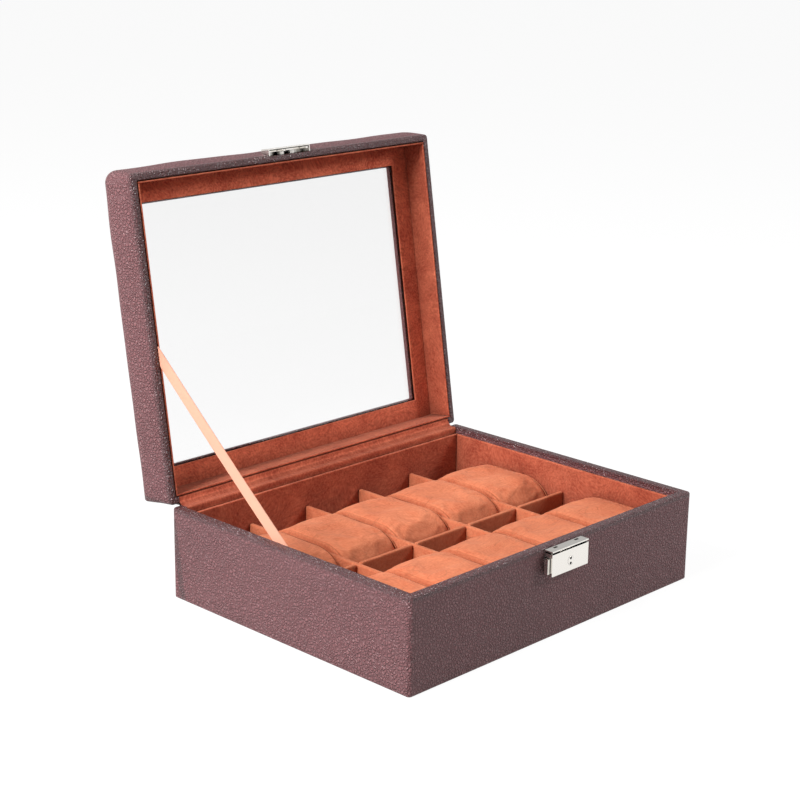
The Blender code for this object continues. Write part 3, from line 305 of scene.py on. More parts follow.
def brushed_suede(name, light, dark, lies, shade):
    """Brushed polyester suede: matt, with a nap that is lighter or darker by the way it was stroked."""
    material, place = placed_material(name)
    # A hand's strokes leave faint patches about 20 mm wide, with streaks 1.5 mm wide inside them.
    bend = scaled(material, noise(material, place, 40.0, 1.0, output="Color"), 0.03)
    bent = vector(material, "ADD", place, bend)
    patches = noise(material, bent, 20.0, 2.0, 0.55)
    along, across = [add_node(material, "ShaderNodeMapping", {"Vector": bent, "Rotation": turn,
                                                              "Scale": stretch}).outputs[0]
                     for turn, stretch in (((0.35, 0.2, 0.6), (1.0, 0.14, 1.0)),
                                           ((0.9, -0.5, -0.4), (0.14, 1.0, 0.9)))]
    choice = remap(material, patches, (0.44, 0.56), **SOFT)
    strokes = add_node(material, "ShaderNodeMix", {
        "Factor": choice, "A": noise(material, along, 1.4, 3.0),
        "B": noise(material, across, 1.6, 3.0)}).outputs["Result"]
    both = reckon(material, "MULTIPLY_ADD", strokes, 0.8, patches)
    # The fibres clump into tufts of 1.5 mm.
    nap = reckon(material, "MULTIPLY_ADD", noise(material, bent, 1.5, 4.0), 1.2, both)
    pile = mixed(material, remap(material, nap, lies), dark, light)
    # A fingernail's mark is a dark hairline where the nap turns, some 25 mm long.
    marks = distance_from(material, noise(material, across, 9.0, 1.0), 0.5)
    line = remap(material, marks, (0.0, 0.014), (0.84, 1.0))
    return surface(material, {
        "Base Color": scaled(material, scaled(material, pile, line), shade(material)),
        "Normal": bumped(material, nap, 0.25, 0.0004), "Roughness": 0.95, "Specular IOR Level": 0.1,
        "Sheen Weight": 0.25, "Sheen Roughness": 0.5, "Sheen Tint": rgba(linear(NAP_SHEEN))})


def seam_shade(material):
    """The drawn-in seams of a pillow, found by their place across its grid, hold shade; the dividers have none."""
    uv = add_node(material, "ShaderNodeUVMap", uv_map="UVMap").outputs["UV"]
    row = add_node(material, "ShaderNodeSeparateXYZ", {0: uv}).outputs["Y"]
    off = reckon(material, "SUBTRACT", distance_from(material, row, 0.5), SEAM_ROW)
    seam = remap(material, reckon(material, "ABSOLUTE", off), (0.012, 0.045), (0.35, 1.0))
    # Painted shade: the side panels, and every face turned to the front, are painted darker where less light
    # reaches them.
    panel = remap(material, off, (0.02, 0.04), (1.0, 0.80))
    normal = add_node(material, "ShaderNodeNewGeometry").outputs["Normal"]
    turned = add_node(material, "ShaderNodeSeparateXYZ", {0: normal}).outputs["Y"]
    front = remap(material, turned, (-1.0, -0.3), (0.64, 1.0))
    return reckon(material, "MULTIPLY", reckon(material, "MULTIPLY", seam, panel), front)


def painted_edge_light_and_corner_shade(material):
    """Painted light on the linings: a painted highlight along their folded edges, and painted shade in their
    corners.
    """
    place = add_node(material, "ShaderNodeTexCoord").outputs["Object"]
    # Painted shade: darker where a corner closes in round the point.
    corner = open_air(material, 0.016, (0.25, 0.85), (0.55, 1.0))
    drop = bpy.context.scene.watch_box_sizes.lining_drop
    # Painted highlight: lighter along the folded edges.
    edges = near_folds(material, place, drop, full=0.0004, none=0.0008)
    return reckon(material, "MULTIPLY", corner, remap(material, edges, target=(1.0, 1.32)))


def pillow_suede(colours):
    """The pillows' suede: brushed up, light and even."""
    return brushed_suede("brushed microsuede", colours.suede_light, colours.suede_dark, (0.9, 2.0), seam_shade)


def lining_suede(name, share):
    """The linings' suede: glued flat, with bolder marks; its colours are the pillows' suede painted darker as
    painted shade, and the share paints it deeper in shade or paler in painted light.
    """
    def recipe(colours):
        light, dark = [[share * part for part in tone] for tone in (colours.lining_light, colours.lining_dark)]
        return brushed_suede(name, light, dark, (1.12, 1.88), painted_edge_light_and_corner_shade)
    return recipe


def satin_ribbon(colours):
    """Polyester satin, woven as a ribbon: fine ribs across it and a woven edge, with a soft gloss."""
    material = new_material("woven polyester satin")
    uv = add_node(material, "ShaderNodeUVMap", uv_map="UVMap").outputs["UV"]
    split = add_node(material, "ShaderNodeSeparateXYZ", {0: uv})
    # The ribbon's 162 mm hold 344 weft ribs, 0.47 mm apart.
    weft_ribs = 344.4444
    turns = reckon(material, "MULTIPLY", split.outputs["X"], 2 * math.pi * weft_ribs)
    edge = remap(material, distance_from(material, split.outputs["Y"], 0.5), (0.42, 0.46), **SOFT)
    height = reckon(material, "MULTIPLY_ADD", reckon(material, "SINE", turns), 0.25, edge)
    return surface(material, {
        "Base Color": mixed(material, edge, colours.ribbon, [0.82 * part for part in colours.ribbon]),
        "Normal": bumped(material, height, 0.5, 0.00012), "Roughness": 0.5, "Sheen Weight": 0.25,
        "Sheen Roughness": 0.3})


def nickel_plate(colours):
    """Zinc die casting, polished and nickel plated: mirror-like, with the haze of handling."""
    material, place = placed_material("polished nickel plate")
    # Hairlines from polishing run along the lock, 0.25 mm apart.
    drawn = add_node(material, "ShaderNodeMapping", {"Vector": place, "Scale": (0.05, 1.0, 1.0)}).outputs[0]
    hairlines = bumped(material, noise(material, drawn, 0.25), 0.05, 0.00005)
    # The haze lies in patches of 6 mm.
    haze = remap(material, noise(material, place, 6.0), (0.3, 0.7), (0.10, 0.19))
    # Painted shade darkens the plating in recesses less than 3 mm wide.
    painted_recess_shade = open_air(material, 0.003, (0.25, 0.8), (0.08, 1.0))
    return surface(material, {"Base Color": scaled(material, tuple(colours.nickel), painted_recess_shade), "Metallic": 1.0,
                              "Roughness": haze, "Normal": hairlines})


def painted_bore_shade(colours):
    """A black disc of painted shade over each bore in the lock, where the hole lies in shade."""
    material, place = placed_material("bore in painted shade")
    # The gloss varies in flecks of 0.3 mm.
    gloss = remap(material, noise(material, place, 0.3), target=(0.6, 0.9))
    return surface(material, {"Base Color": rgba(linear(PAINTED_BORE_SHADE)), "Roughness": gloss,
                              "Specular IOR Level": 0.2})


def float_glass(colours):
    """Soda-lime float glass: clear, with a trace of grey."""
    material = new_material("clear float glass")
    shader = add_node(material, "ShaderNodeBsdfPrincipled", {
        "Base Color": rgba(colours.glass), "Roughness": 0.0, "IOR": 1.45, "Transmission Weight": 1.0})
    # Light that falls through the pane on what lies behind it passes straight, as through thin glass.
    falls = any_ray(material, add_node(material, "ShaderNodeLightPath"), "Shadow", "Diffuse")
    clear = add_node(material, "ShaderNodeBsdfTransparent", {"Color": rgba(colours.glass)})
    pane = add_node(material, "ShaderNodeMixShader", {0: falls, 1: shader.outputs[0], 2: clear.outputs[0]})
    add_node(material, "ShaderNodeOutputMaterial", {"Surface": pane.outputs[0]})
    return material


def wool_felt(colours):
    """Pressed felt: matt fibres that lie in all directions."""
    material, place = placed_material("pressed felt")
    # Fibres of 0.6 mm show as a mottle.
    fibres = noise(material, place, 0.6, 4.0)
    tint = scaled(material, tuple(colours.felt), remap(material, fibres, target=(0.6, 1.5)))
    return surface(material, {"Base Color": tint, "Normal": bumped(material, fibres, 0.5, 0.0003),
                              "Roughness": 0.98, "Sheen Weight": 0.3})


def fibreboard(colours):
    """Medium-density fibreboard: a flat brown with fine flecks of fibre."""
    material, place = placed_material("fibreboard")
    # Flecks are about 1.2 mm long.
    mottle = remap(material, noise(material, place, 1.2, 4.0), target=(0.8, 1.2))
    return surface(material, {"Base Color": scaled(material, tuple(colours.board), mottle), "Roughness": 0.85})


def blackened_board(colours):
    """The lid's top board, brushed black so that its edge stays dark behind the pane."""
    material, place = placed_material("blackened fibreboard")
    # The brush leaves streaks of 0.8 mm.
    gloss = remap(material, noise(material, place, 0.8, 3.0), target=(0.6, 0.9))
    return surface(material, {"Base Color": rgba(colours.felt), "Roughness": gloss, "Specular IOR Level": 0.3})


def studio_floor(colours):
    """Seamless paper that the camera, glass and gloss see as white, and that throws back less light."""
    material = new_material("seamless paper")
    rays = add_node(material, "ShaderNodeLightPath")
    share = reckon(material, "MULTIPLY", any_ray(material, rays, "Camera", "Glossy", "Transmission"), 0.85)
    level = remap(material, rays.outputs["Is Diffuse Ray"], target=(1.0, 0.45))
    paper = add_node(material, "ShaderNodeBsdfDiffuse", {"Color": scaled(material, tuple(colours.floor), level)})
    glow = add_node(material, "ShaderNodeEmission", {"Color": WHITE, "Strength": 1.1})
    mix = add_node(material, "ShaderNodeMixShader", {0: share, 1: paper.outputs[0], 2: glow.outputs[0]})
    add_node(material, "ShaderNodeOutputMaterial", {"Surface": mix.outputs[0]})
    return material


RECIPES = {"leather": leatherette, "suede": pillow_suede, "ribbon": satin_ribbon,
           # The base lining is painted deeper as painted shade, and the lid's frame paler as painted light.
           "base lining": lining_suede("microsuede lining in painted shade", 0.87),
           "lid lining": lining_suede("microsuede lining", 1.0),
           "frame": lining_suede("microsuede lining in painted light", 1.5),
           "nickel": nickel_plate, "glass": float_glass, "felt": wool_felt, "bore": painted_bore_shade,
           "board": fibreboard, "black board": blackened_board, "floor": studio_floor}
MADE = {}


def finish_of(context, name):
    """The material of that name, made once from the panel's colours."""
    if name not in MADE:
        MADE[name] = RECIPES[name](context.scene.watch_box_colours)
    return MADE[name]


# Modelling helpers

def take(piece):
    """Selects only this piece and makes it active."""
    if bpy.context.object and bpy.context.object.mode != "OBJECT":
        bpy.ops.object.mode_set(mode="OBJECT")
    bpy.ops.object.select_all(action="DESELECT")
    piece.select_set(True)
    bpy.context.view_layer.objects.active = piece


def fresh(add, name, **settings):
    """Adds one object by its operator, names it and returns it."""
    bpy.ops.object.select_all(action="DESELECT")
    add(**settings)
    piece = bpy.context.object
    piece.name = name
    return piece


def apply_modifier(piece, kind, **settings):
    """Adds a modifier with its settings and applies it at once."""
    take(piece)
    modifier = piece.modifiers.new("step", kind)
    for name, value in settings.items():
        setattr(modifier, name, value)
    bpy.ops.object.modifier_apply(modifier=modifier.name)


def lay_grid(name, rows):
    """A grid added flat, then laid point by point along rows of places."""
    rows = np.asarray(rows, float)
    steps_v, steps_u = rows.shape[0] - 1, rows.shape[1] - 1
    piece = fresh(bpy.ops.mesh.primitive_grid_add, name, x_subdivisions=steps_u, y_subdivisions=steps_v, size=1.0)
    piece.data.name = name
    places = np.empty(len(piece.data.vertices) * 3)
    piece.data.vertices.foreach_get("co", places)
    places = places.reshape(-1, 3)
    u = np.rint((places[:, 0] + 0.5) * steps_u).astype(int)
    v = np.rint((places[:, 1] + 0.5) * steps_v).astype(int)
    piece.data.vertices.foreach_set("co", rows[v, u].ravel())
    piece.data.update()
    return piece


def close_up(piece):
    """Joins edges that meet and turns the faces outwards."""
    take(piece)
    bpy.ops.object.mode_set(mode="EDIT")
    bpy.ops.mesh.select_all(action="SELECT")
    bpy.ops.mesh.remove_doubles(threshold=0.00002)
    bpy.ops.mesh.normals_make_consistent(inside=False)
    bpy.ops.object.mode_set(mode="OBJECT")


def round_off(piece, material, angle=math.radians(40.0)):
    """Smooth shading up to an angle, and the piece's one material."""
    take(piece)
    bpy.ops.object.shade_smooth_by_angle(angle=angle)
    piece.data.materials.clear()
    piece.data.materials.append(material)


def hinge_point(sizes):
    """The hinge's line runs in the middle of the spine's leather, half way up the gap."""
    return Vector((0.0, sizes.depth / 2 + SPINE_MIDDLE, sizes.base_height + sizes.closed_gap / 2))


def open_up(sizes):
    """The turn that carries a piece of the shut lid to where it stands open."""
    hinge = Matrix.Translation(hinge_point(sizes))
    return hinge @ Matrix.Rotation(-sizes.open_angle, 4, "X") @ hinge.inverted()


def stand_open(piece, sizes):
    """Turns a piece that was made on the shut lid to its open place, in its mesh."""
    piece.matrix_world = open_up(sizes)
    take(piece)
    bpy.ops.object.transform_apply(location=True, rotation=True, scale=True)


def cut_box(piece, low, high):
    """Cuts a box out of a piece."""
    cutter = fresh(bpy.ops.mesh.primitive_cube_add, "cutter", size=1.0,
                   location=[(a + b) / 2 for a, b in zip(low, high)], scale=[b - a for a, b in zip(low, high)])
    bpy.ops.object.transform_apply(location=True, rotation=True, scale=True)
    apply_modifier(piece, "BOOLEAN", operation="DIFFERENCE", solver="EXACT", object=cutter)
    bpy.data.objects.remove(cutter)


def arc(middle, radius, start, end, steps):
    """Points on an arc, with angles in degrees."""
    angles = np.radians(np.linspace(start, end, steps + 1))
    return [(middle[0] + radius * math.cos(a), middle[1] + radius * math.sin(a)) for a in angles]


def walk_round(side_steps, corner_steps=8):
    """Stops of a walk round a box from its left front corner: a corner with a share of its turn, or a side."""
    stops = []
    for corner in range(4):
        stops += [(corner, step / corner_steps, None) for step in range(corner_steps + 1)]
        stops += [(corner, None, step / side_steps) for step in range(1, side_steps)]
    return stops + [stops[0]]


def box_round(sizes, inset, height, radius, stops):
    """Places round the box at one height; a bulge leaves the rear side flat."""
    rear = min(radius, sizes.base_corner)
    east = sizes.width / 2 - inset - radius
    south = sizes.depth / 2 - inset - radius
    north = sizes.depth / 2 - max(inset, 0.0) - rear
    corners = ((-east, -south, radius, 180), (east, -south, radius, 270), (east, north, rear, 0),
               (-east, north, rear, 90))

    def turn(corner, share):
        x, y, deep, start = corners[corner % 4]
        angle = math.radians(start + 90 * share)
        return np.array((x + radius * math.cos(angle), y + deep * math.sin(angle), height))

    row = []
    for corner, share, along in stops:
        if along is None:
            row.append(turn(corner, share))
        else:
            start, end = turn(corner, 1.0), turn(corner + 1, 0.0)
            row.append(start + (end - start) * along)
    return row


def ripple(places, wave, seed):
    """A smooth irregular field of about unit height over places, with waves of this length."""
    generator = np.random.default_rng(seed)
    field = np.zeros(len(places))
    waves, usual_height = 7, 2.6
    for turn in range(waves):
        direction = generator.normal(size=3)
        direction /= np.linalg.norm(direction)
        field += np.sin(places @ direction * 2 * math.pi / (wave * generator.uniform(0.7, 1.5))
                        + generator.uniform(0, 2 * math.pi))
    return field / usual_height


def swell(piece, wave, amount, seed, where=None):
    """Moves each point along its normal by a smooth irregular amount, all over or by a share for each point."""
    count = len(piece.data.vertices)
    places = np.empty(count * 3)
    normals = np.empty(count * 3)
    piece.data.vertices.foreach_get("co", places)
    piece.data.vertices.foreach_get("normal", normals)
    places, normals = places.reshape(-1, 3), normals.reshape(-1, 3)
    move = ripple(places, wave, seed) * amount
    if where is not None:
        move = move * where(places)
    piece.data.vertices.foreach_set("co", (places + normals * move[:, None]).ravel())
    piece.data.update()


def fillet(path, radius, steps=5):
    """A path of Y and Z with its corners rounded."""
    points = [np.array(path[0], float)]
    for before, here, after in zip(path, path[1:], path[2:]):
        here = np.array(here, float)
        back, on = np.array(before, float) - here, np.array(after, float) - here
        reach = min(radius, 0.45 * np.linalg.norm(back), 0.45 * np.linalg.norm(on))
        start = here + back / np.linalg.norm(back) * reach
        end = here + on / np.linalg.norm(on) * reach
        for step in range(steps + 1):
            t = step / steps
            points.append((1 - t) ** 2 * start + 2 * t * (1 - t) * here + t ** 2 * end)
    points.append(np.array(path[-1], float))
    return points


def even_path(points, count):
    """The same path with its points evenly spaced."""
    points = np.array(points)
    steps = np.linalg.norm(np.diff(points, axis=0), axis=1)
    run = np.concatenate([[0], np.cumsum(steps)])
    stations = np.linspace(0, run[-1], count)
    return np.column_stack([np.interp(stations, run, points[:, axis]) for axis in range(points.shape[1])]), run[-1]


# Pieces

def cut_hinge_bay(piece, sizes, edge, way, deep, board, pocket):
    """Frees a covering's rear rim for the hinge strips: its fold first, then the flap that turns in behind it."""
    play, past, fold = 0.0003, 0.001, 0.0015
    bay = sizes.width / 2 - sizes.base_rim - play
    rear = sizes.depth / 2
    for near, far, face in ((-past, fold, rear + past), (0.0, pocket, rear - board)):
        low, high = sorted((edge + way * near, edge + way * far))
        cut_box(piece, (-bay, rear - deep, low), (bay, face, high))


class WATCHBOX_OT_base_leather(bpy.types.Operator):
    """Cover the base in leatherette, turned over the rim and under the bottom"""
    bl_idname = "watchbox.base_leather"
    bl_label = "Base covering"

    def execute(self, context):
        s = context.scene.watch_box_sizes
        lift, foot, under, turned_in, fade = 0.0003, 0.0010, 0.0055, 0.012, 0.012
        section = [(under, lift)] + arc((foot, lift + foot), foot, 270, 180, 4)
        section += [(0.0, s.base_height * share) for share in (0.2, 0.4, 0.6, 0.8)]
        section += arc((s.rim_outer, s.base_height - s.rim_outer), s.rim_outer, 180, 90, 5)
        section += arc((s.base_rim - s.rim_inner, s.base_height - s.rim_inner), s.rim_inner, 90, 0, 4)
        section += [(s.base_rim, s.base_height - turned_in)]
        stops = walk_round(s.around)
        rows = [box_round(s, inset, height, max(s.base_corner - inset, LEAST_FOLD), stops)
                for inset, height in section]
        piece = lay_grid("base_leather", rows)
        close_up(piece)

        def on_faces(places):
            return np.clip(np.minimum(places[:, 2], s.base_height - places[:, 2]) / fade, 0, 1)

        swell(piece, wave=0.05, amount=0.00010, seed=3, where=on_faces)
        apply_modifier(piece, "SOLIDIFY", thickness=s.leather, offset=-1.0, use_even_offset=True)
        cut_hinge_bay(piece, s, s.base_height, -1, deep=0.009, board=0.0033, pocket=0.013)
        round_off(piece, finish_of(context, "leather"))
        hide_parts("base_leather_wrap")
        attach(piece, "base")
        return {"FINISHED"}


class WATCHBOX_OT_lid_leather(bpy.types.Operator):
    """Cover the lid in padded leatherette, from inside its rim to the edge of the window"""
    bl_idname = "watchbox.lid_leather"
    bl_label = "Padded lid covering"

    def execute(self, context):
        s = context.scene.watch_box_sizes
        rim = s.base_height + s.closed_gap
        crown = rim + s.lid_height
        flap, window_fold, fold_foot, pane_top, least_bulge = 0.006, 0.0015, 0.0022, 0.02165, 0.00125
        side_steps, top_steps = 8, 10
        rim_section = [(s.lid_rim, rim + flap), (s.lid_rim, rim + flap / 2)]
        rim_section += arc((s.lid_rim - s.rim_inner, rim + s.rim_inner), s.rim_inner, 360, 270, 4)
        rim_section += arc((s.rim_outer, rim + s.rim_outer), s.rim_outer, 270, 180, 5)
        section = [(inset, height, max(s.base_corner - inset, LEAST_FOLD)) for inset, height in rim_section]
        edge = (s.lid_edge - s.lid_bulge, crown - s.lid_edge)
        low = rim + s.rim_outer
        for step in range(1, side_steps):
            full = math.sin(math.pi / 2 * step / side_steps)
            section.append((-s.lid_bulge * full, low + (edge[1] - low) * step / side_steps,
                            s.base_corner + (s.lid_corner - s.base_corner) * full))
        top = arc(edge, s.lid_edge, 180, 90, top_steps)
        fold = (s.window_margin - window_fold, crown - s.lid_crown_drop)
        for step in range(1, top_steps):
            share = step / top_steps
            top.append((edge[0] + (fold[0] - edge[0]) * share,
                        fold[1] + s.lid_crown_drop * math.cos(math.pi / 2 * share)))
        top += arc((fold[0], fold[1] - window_fold), window_fold, 90, 0, 5)
        top += [(s.window_margin, fold[1] - fold_foot), (s.window_margin, rim + pane_top)]
        section += [(inset, height, max(s.lid_corner - s.lid_bulge - inset, least_bulge)) for inset, height in top]
        stops = walk_round(s.around)
        piece = lay_grid("lid_leather", [box_round(s, *point, stops) for point in section])
        close_up(piece)
        start, fade = 0.004, 0.006

        def on_padding(places):
            deep = np.clip((places[:, 2] - rim - start) / fade, 0, 1)
            x = s.width / 2 - np.abs(places[:, 0])
            y = s.depth / 2 - np.abs(places[:, 1])
            return deep * np.clip((s.window_margin - start - np.minimum(x, y)) / fade, 0, 1)

        swell(piece, wave=0.045, amount=0.00022, seed=11, where=on_padding)
        apply_modifier(piece, "SOLIDIFY", thickness=s.leather, offset=-1.0, use_even_offset=True)
        cut_hinge_bay(piece, s, rim, 1, deep=0.0065, board=0.0023, pocket=0.007)
        # The catch sits in a cut in the front rim.
        catch_half, catch_height, seat, front = 0.0183, 0.0079, 0.00075, -s.depth / 2
        cut_box(piece, (-catch_half, front - 0.005, rim - 0.001), (catch_half, front + seat, rim + catch_height))
        stand_open(piece, s)
        round_off(piece, finish_of(context, "leather"))
        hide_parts("lid_leather_cover", "lid_padding")
        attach(piece, "lid")
        return {"FINISHED"}


class WATCHBOX_OT_pillows(bpy.types.Operator):
    """Sew one suede pillow, fill it, and lay a copy in each cell"""
    bl_idname = "watchbox.pillows"
    bl_label = "Pillows"

    def ring(self, size, s, x, inset, crown, share=1.0):
        """One slice of the pillow across its width, seen from the side; the inset draws it in all round."""
        half_height = size.z / 2
        end = s.pillow_end - inset
        flat = size.y / 2 - s.pillow_end
        outline_steps, gather, gather_share = 72, 0.0035, 0.3
        full = []
        for step in range(outline_steps):
            angle = 2 * math.pi * (step + 0.5) / outline_steps
            out, up = math.cos(angle), math.sin(angle)
            full.append((math.copysign(flat, out) + (end + crown * 0.6) * out,
                         (half_height - inset) * up + crown * max(up, 0.0)))
        line, run = even_path(full + full[:1], ROUND_STEPS + 1)
        # The seam is gathered every 3.5 mm.
        turns = np.arange(ROUND_STEPS + 1) / ROUND_STEPS * round(run / gather)
        line = line * (1 - gather_share * np.sin(turns * 2 * math.pi)[:, None] * inset / half_height)
        return [(x, y * share, half_height + z * share) for y, z in line]

    def sew(self, context, size):
        """A band over the top and round both ends between two side panels, filled until it is firm."""
        s = context.scene.watch_box_sizes
        half = size.x / 2
        seam = half - s.seam_setback
        panel_steps, band_steps, band_start = 7, 10, seam - 0.0009
        # Each slice has its place across the pillow, its inset, its crown and its share of the outline.
        side = [(half, s.panel_round, 0.0, share) for share in (0.0, 0.25, 0.5, 0.75)]
        for step in range(panel_steps):
            turn = math.pi / 2 * step / panel_steps
            side.append((seam + s.seam_setback * math.cos(turn), s.panel_round * (1 - math.sin(turn)), 0.0, 1.0))
        side += [(seam + 0.0005, 0.0001, 0.0, 1.0), (seam + 0.00035, 0.0004, 0.0, 1.0),
                 (seam + 0.0001, s.seam_depth, 0.0, 1.0), (seam - 0.0003, s.seam_depth, 0.0, 1.0),
                 (seam - 0.0006, 0.0004, 0.0, 1.0), (band_start, 0.0, 0.0, 1.0)]
        for step in range(1, band_steps + 1):
            place = 1 - step / band_steps
            side.append((band_start * place, 0.0, s.pillow_crown * (1 - place ** 4), 1.0))
        rows = [self.ring(size, s, -x, *rest) for x, *rest in side]
        rows += [self.ring(size, s, x, *rest) for x, *rest in reversed(side[:-1])]
        pillow = lay_grid("pillow", rows)
        close_up(pillow)
        self.fill(pillow, seam)
        apply_modifier(pillow, "SUBSURF", levels=1, render_levels=1)
        round_off(pillow, finish_of(context, "suede"), math.radians(180.0))
        return pillow

    def fill(self, pillow, seam):
        """Lets the stuffing press the cloth out between its seams, by no more than 0.7 mm."""
        frames, most, most_sideways, floor = 20, 0.0007, 0.0003, 0.003
        before = np.array([v.co for v in pillow.data.vertices])
        held = pillow.vertex_groups.new(name="seams")
        for vertex in pillow.data.vertices:
            off = abs(abs(vertex.co.x) - seam)
            weight = max(0.0, 1.0 - max(off - 0.0005, 0.0) / 0.002)
            if vertex.co.z < floor:
                weight = 1.0
            held.add([vertex.index], weight, "REPLACE")
        take(pillow)
        cloth = pillow.modifiers.new("filling", "CLOTH")
        cloth.settings.vertex_group_mass = "seams"
        cloth.settings.use_pressure = True
        cloth.settings.uniform_pressure_force = 4.0
        cloth.settings.shrink_min = -0.01
        cloth.settings.bending_stiffness = 0.8
        cloth.settings.effector_weights.gravity = 0.0
        cloth.collision_settings.use_collision = False
        cloth.point_cache.frame_start = 1
        cloth.point_cache.frame_end = frames
        for number in range(1, frames + 1):
            bpy.context.scene.frame_set(number)
        bpy.ops.object.modifier_apply(modifier=cloth.name)
        bpy.context.scene.frame_set(1)
        after = np.array([v.co for v in pillow.data.vertices])
        move = after - before
        far = np.linalg.norm(move, axis=1, keepdims=True)
        move *= np.minimum(1.0, most / np.maximum(far, 1e-9))
        move[:, 0] = np.clip(move[:, 0], -most_sideways, most_sideways)
        pillow.data.vertices.foreach_set("co", (before + move).ravel())
        pillow.data.update()

    def execute(self, context):
        low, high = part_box(PILLOWS[0])
        size = high - low
        s = context.scene.watch_box_sizes
        size.y -= 1.2 * s.pillow_crown
        size.z -= s.pillow_crown
        model = self.sew(context, size)
        for number, node in enumerate(PILLOWS):
            low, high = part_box(node)
            piece = model.copy()
            piece.data = model.data.copy()
            piece.name = "suede_" + node
            piece.data.name = piece.name
            context.scene.collection.objects.link(piece)
            place = Matrix.Translation(((low.x + high.x) / 2, (low.y + high.y) / 2, low.z))
            if number % 2:
                place = place @ Matrix.Rotation(math.pi, 4, "Z")
            piece.data.transform(place)
            piece.data.update()

            def above_floor(places, floor=low.z, start=0.004, fade=0.008):
                return np.clip((places[:, 2] - floor - start) / fade, 0, 1)

            swell(piece, wave=0.030, amount=0.00014, seed=40 + number, where=above_floor)
            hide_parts(node)
            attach(piece, node)
        bpy.data.objects.remove(model)
        return {"FINISHED"}


class WATCHBOX_OT_ribbon(bpy.types.Operator):
    """Stretch the satin ribbon from the slot in the base to the slot in the lid"""
    bl_idname = "watchbox.ribbon"
    bl_label = "Ribbon stay"

    def execute(self, context):
        s = context.scene.watch_box_sizes
        slot, slot_y, lid_slot_y = 0.0006, 0.006, s.depth / 2 - 0.0935
        in_base, in_lid, sag, curl = 0.009, 0.005, 0.0008, 0.00022
        base_x = -(s.width / 2 - s.base_rim - slot / 2)
        lid_x = -(s.width / 2 - s.lid_rim - slot / 2)
        low = Vector((base_x, slot_y, s.base_height - s.lining_drop))
        high = open_up(s) @ Vector((lid_x, lid_slot_y, s.base_height + s.closed_gap))
        run = (high - low).normalized()
        across = run.cross(Vector((1, 0, 0))).normalized()
        start, end = low - run * in_base, high + run * in_lid
        reach = (end - start).length
        held, free_run = 0.012, reach - 0.020
        lines = 8
        rows = []
        for line in range(lines + 1):
            off = (line / lines - 0.5) * s.ribbon_width
            bow = curl * (1 - (2 * line / lines - 1) ** 2)
            row = []
            for step in range(STRIP_STEPS + 1):
                t = step / STRIP_STEPS
                free = math.sin(math.pi * min(max((t * reach - held) / free_run, 0.0), 1.0))
                place = start + run * (t * reach) + across * off
                row.append((place.x - bow * free, place.y, place.z - sag * free))
            rows.append(row)
        piece = lay_grid("ribbon", rows)
        apply_modifier(piece, "SOLIDIFY", thickness=s.ribbon_thickness, offset=0.0)
        close_up(piece)
        round_off(piece, finish_of(context, "ribbon"))
        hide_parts("ribbon_stay")
        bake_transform(piece)
        return {"FINISHED"}


class WATCHBOX_OT_hinge_strips(bpy.types.Operator):
    """Lay the suede strip inside the hinge and the leatherette spine outside it"""
    bl_idname = "watchbox.hinge_strips"
    bl_label = "Hinge strips"

    def strip(self, name, path, radius, half_width, thickness, unevenness):
        """A strip along X whose section follows a path of Y and Z."""
        line, run = even_path(fillet(path, radius), 64)
        across = [half_width * (2 * step / STRIP_STEPS - 1) for step in range(STRIP_STEPS + 1)]
        piece = lay_grid(name, [[(x, y, z) for x in across] for y, z in line])
        swell(piece, wave=0.035, amount=unevenness, seed=21)
        apply_modifier(piece, "SOLIDIFY", thickness=thickness, offset=0.0)
        close_up(piece)
        return piece, run

    def execute(self, context):
        s = context.scene.watch_box_sizes
        turn = open_up(s)

        def opened(y, z):
            place = turn @ Vector((0.0, y, z))
            return place.y, place.z

        rear = s.depth / 2
        rim = s.base_height + s.closed_gap
        play = 0.0004
        half_width = s.width / 2 - s.base_rim - play
        top, lid_low = s.base_height - play, rim + play
        in_base, in_lid, fold = rear - 0.0061, rear - 0.0042, rear - 0.0015
        path = [(in_base, s.base_height - 0.011), (in_base, top), (fold, top),
                opened(fold, lid_low), opened(in_lid, lid_low), opened(in_lid, rim + 0.007)]
        inner, run = self.strip("suede_hinge_strip", path, radius=0.0009, half_width=half_width,
                                thickness=0.0004, unevenness=0.00003)
        round_off(inner, finish_of(context, "lid lining"))
        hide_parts("inner_hinge_strip")
        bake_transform(inner)

        skin, turn_off = 0.0006, 0.001
        face = rear + skin
        path = [(face, s.base_height - 0.022), (face, s.base_height - turn_off), opened(face, rim + turn_off),
                opened(face, rim + 0.019)]
        outer, run = self.strip("leather_spine", path, radius=0.0008, half_width=half_width,
                                thickness=skin, unevenness=0.00002)
        round_off(outer, finish_of(context, "leather"))
        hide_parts("outer_hinge_strip")
        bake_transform(outer)
        return {"FINISHED"}


class WATCHBOX_OT_felt(bpy.types.Operator):
    """Glue the felt under the base"""
    bl_idname = "watchbox.felt"
    bl_label = "Felt"

    def execute(self, context):
        low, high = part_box("base_felt")
        rows = [[(x, y, (low.z + high.z) / 2) for x in np.linspace(low.x, high.x, 41)]
                for y in np.linspace(low.y, high.y, 31)]
        piece = lay_grid("felt", rows)
        apply_modifier(piece, "SOLIDIFY", thickness=high.z - low.z, offset=0.0)
        apply_modifier(piece, "BEVEL", width=0.0002, segments=2, limit_method="ANGLE")
        close_up(piece)
        round_off(piece, finish_of(context, "felt"))
        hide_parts("base_felt")
        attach(piece, "base")
        return {"FINISHED"}


class WATCHBOX_OT_finishes(bpy.types.Operator):
    """Give the linings, boards, metalwork and glass of the frame their finishes"""
    bl_idname = "watchbox.finishes"
    bl_label = "Finishes of the frame"

    def execute(self, context):
        for nodes, name in FRAME_FINISHES:
            for node in nodes:
                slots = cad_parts[node].data.materials
                slots.clear()
                slots.append(finish_of(context, name))
        return {"FINISHED"}


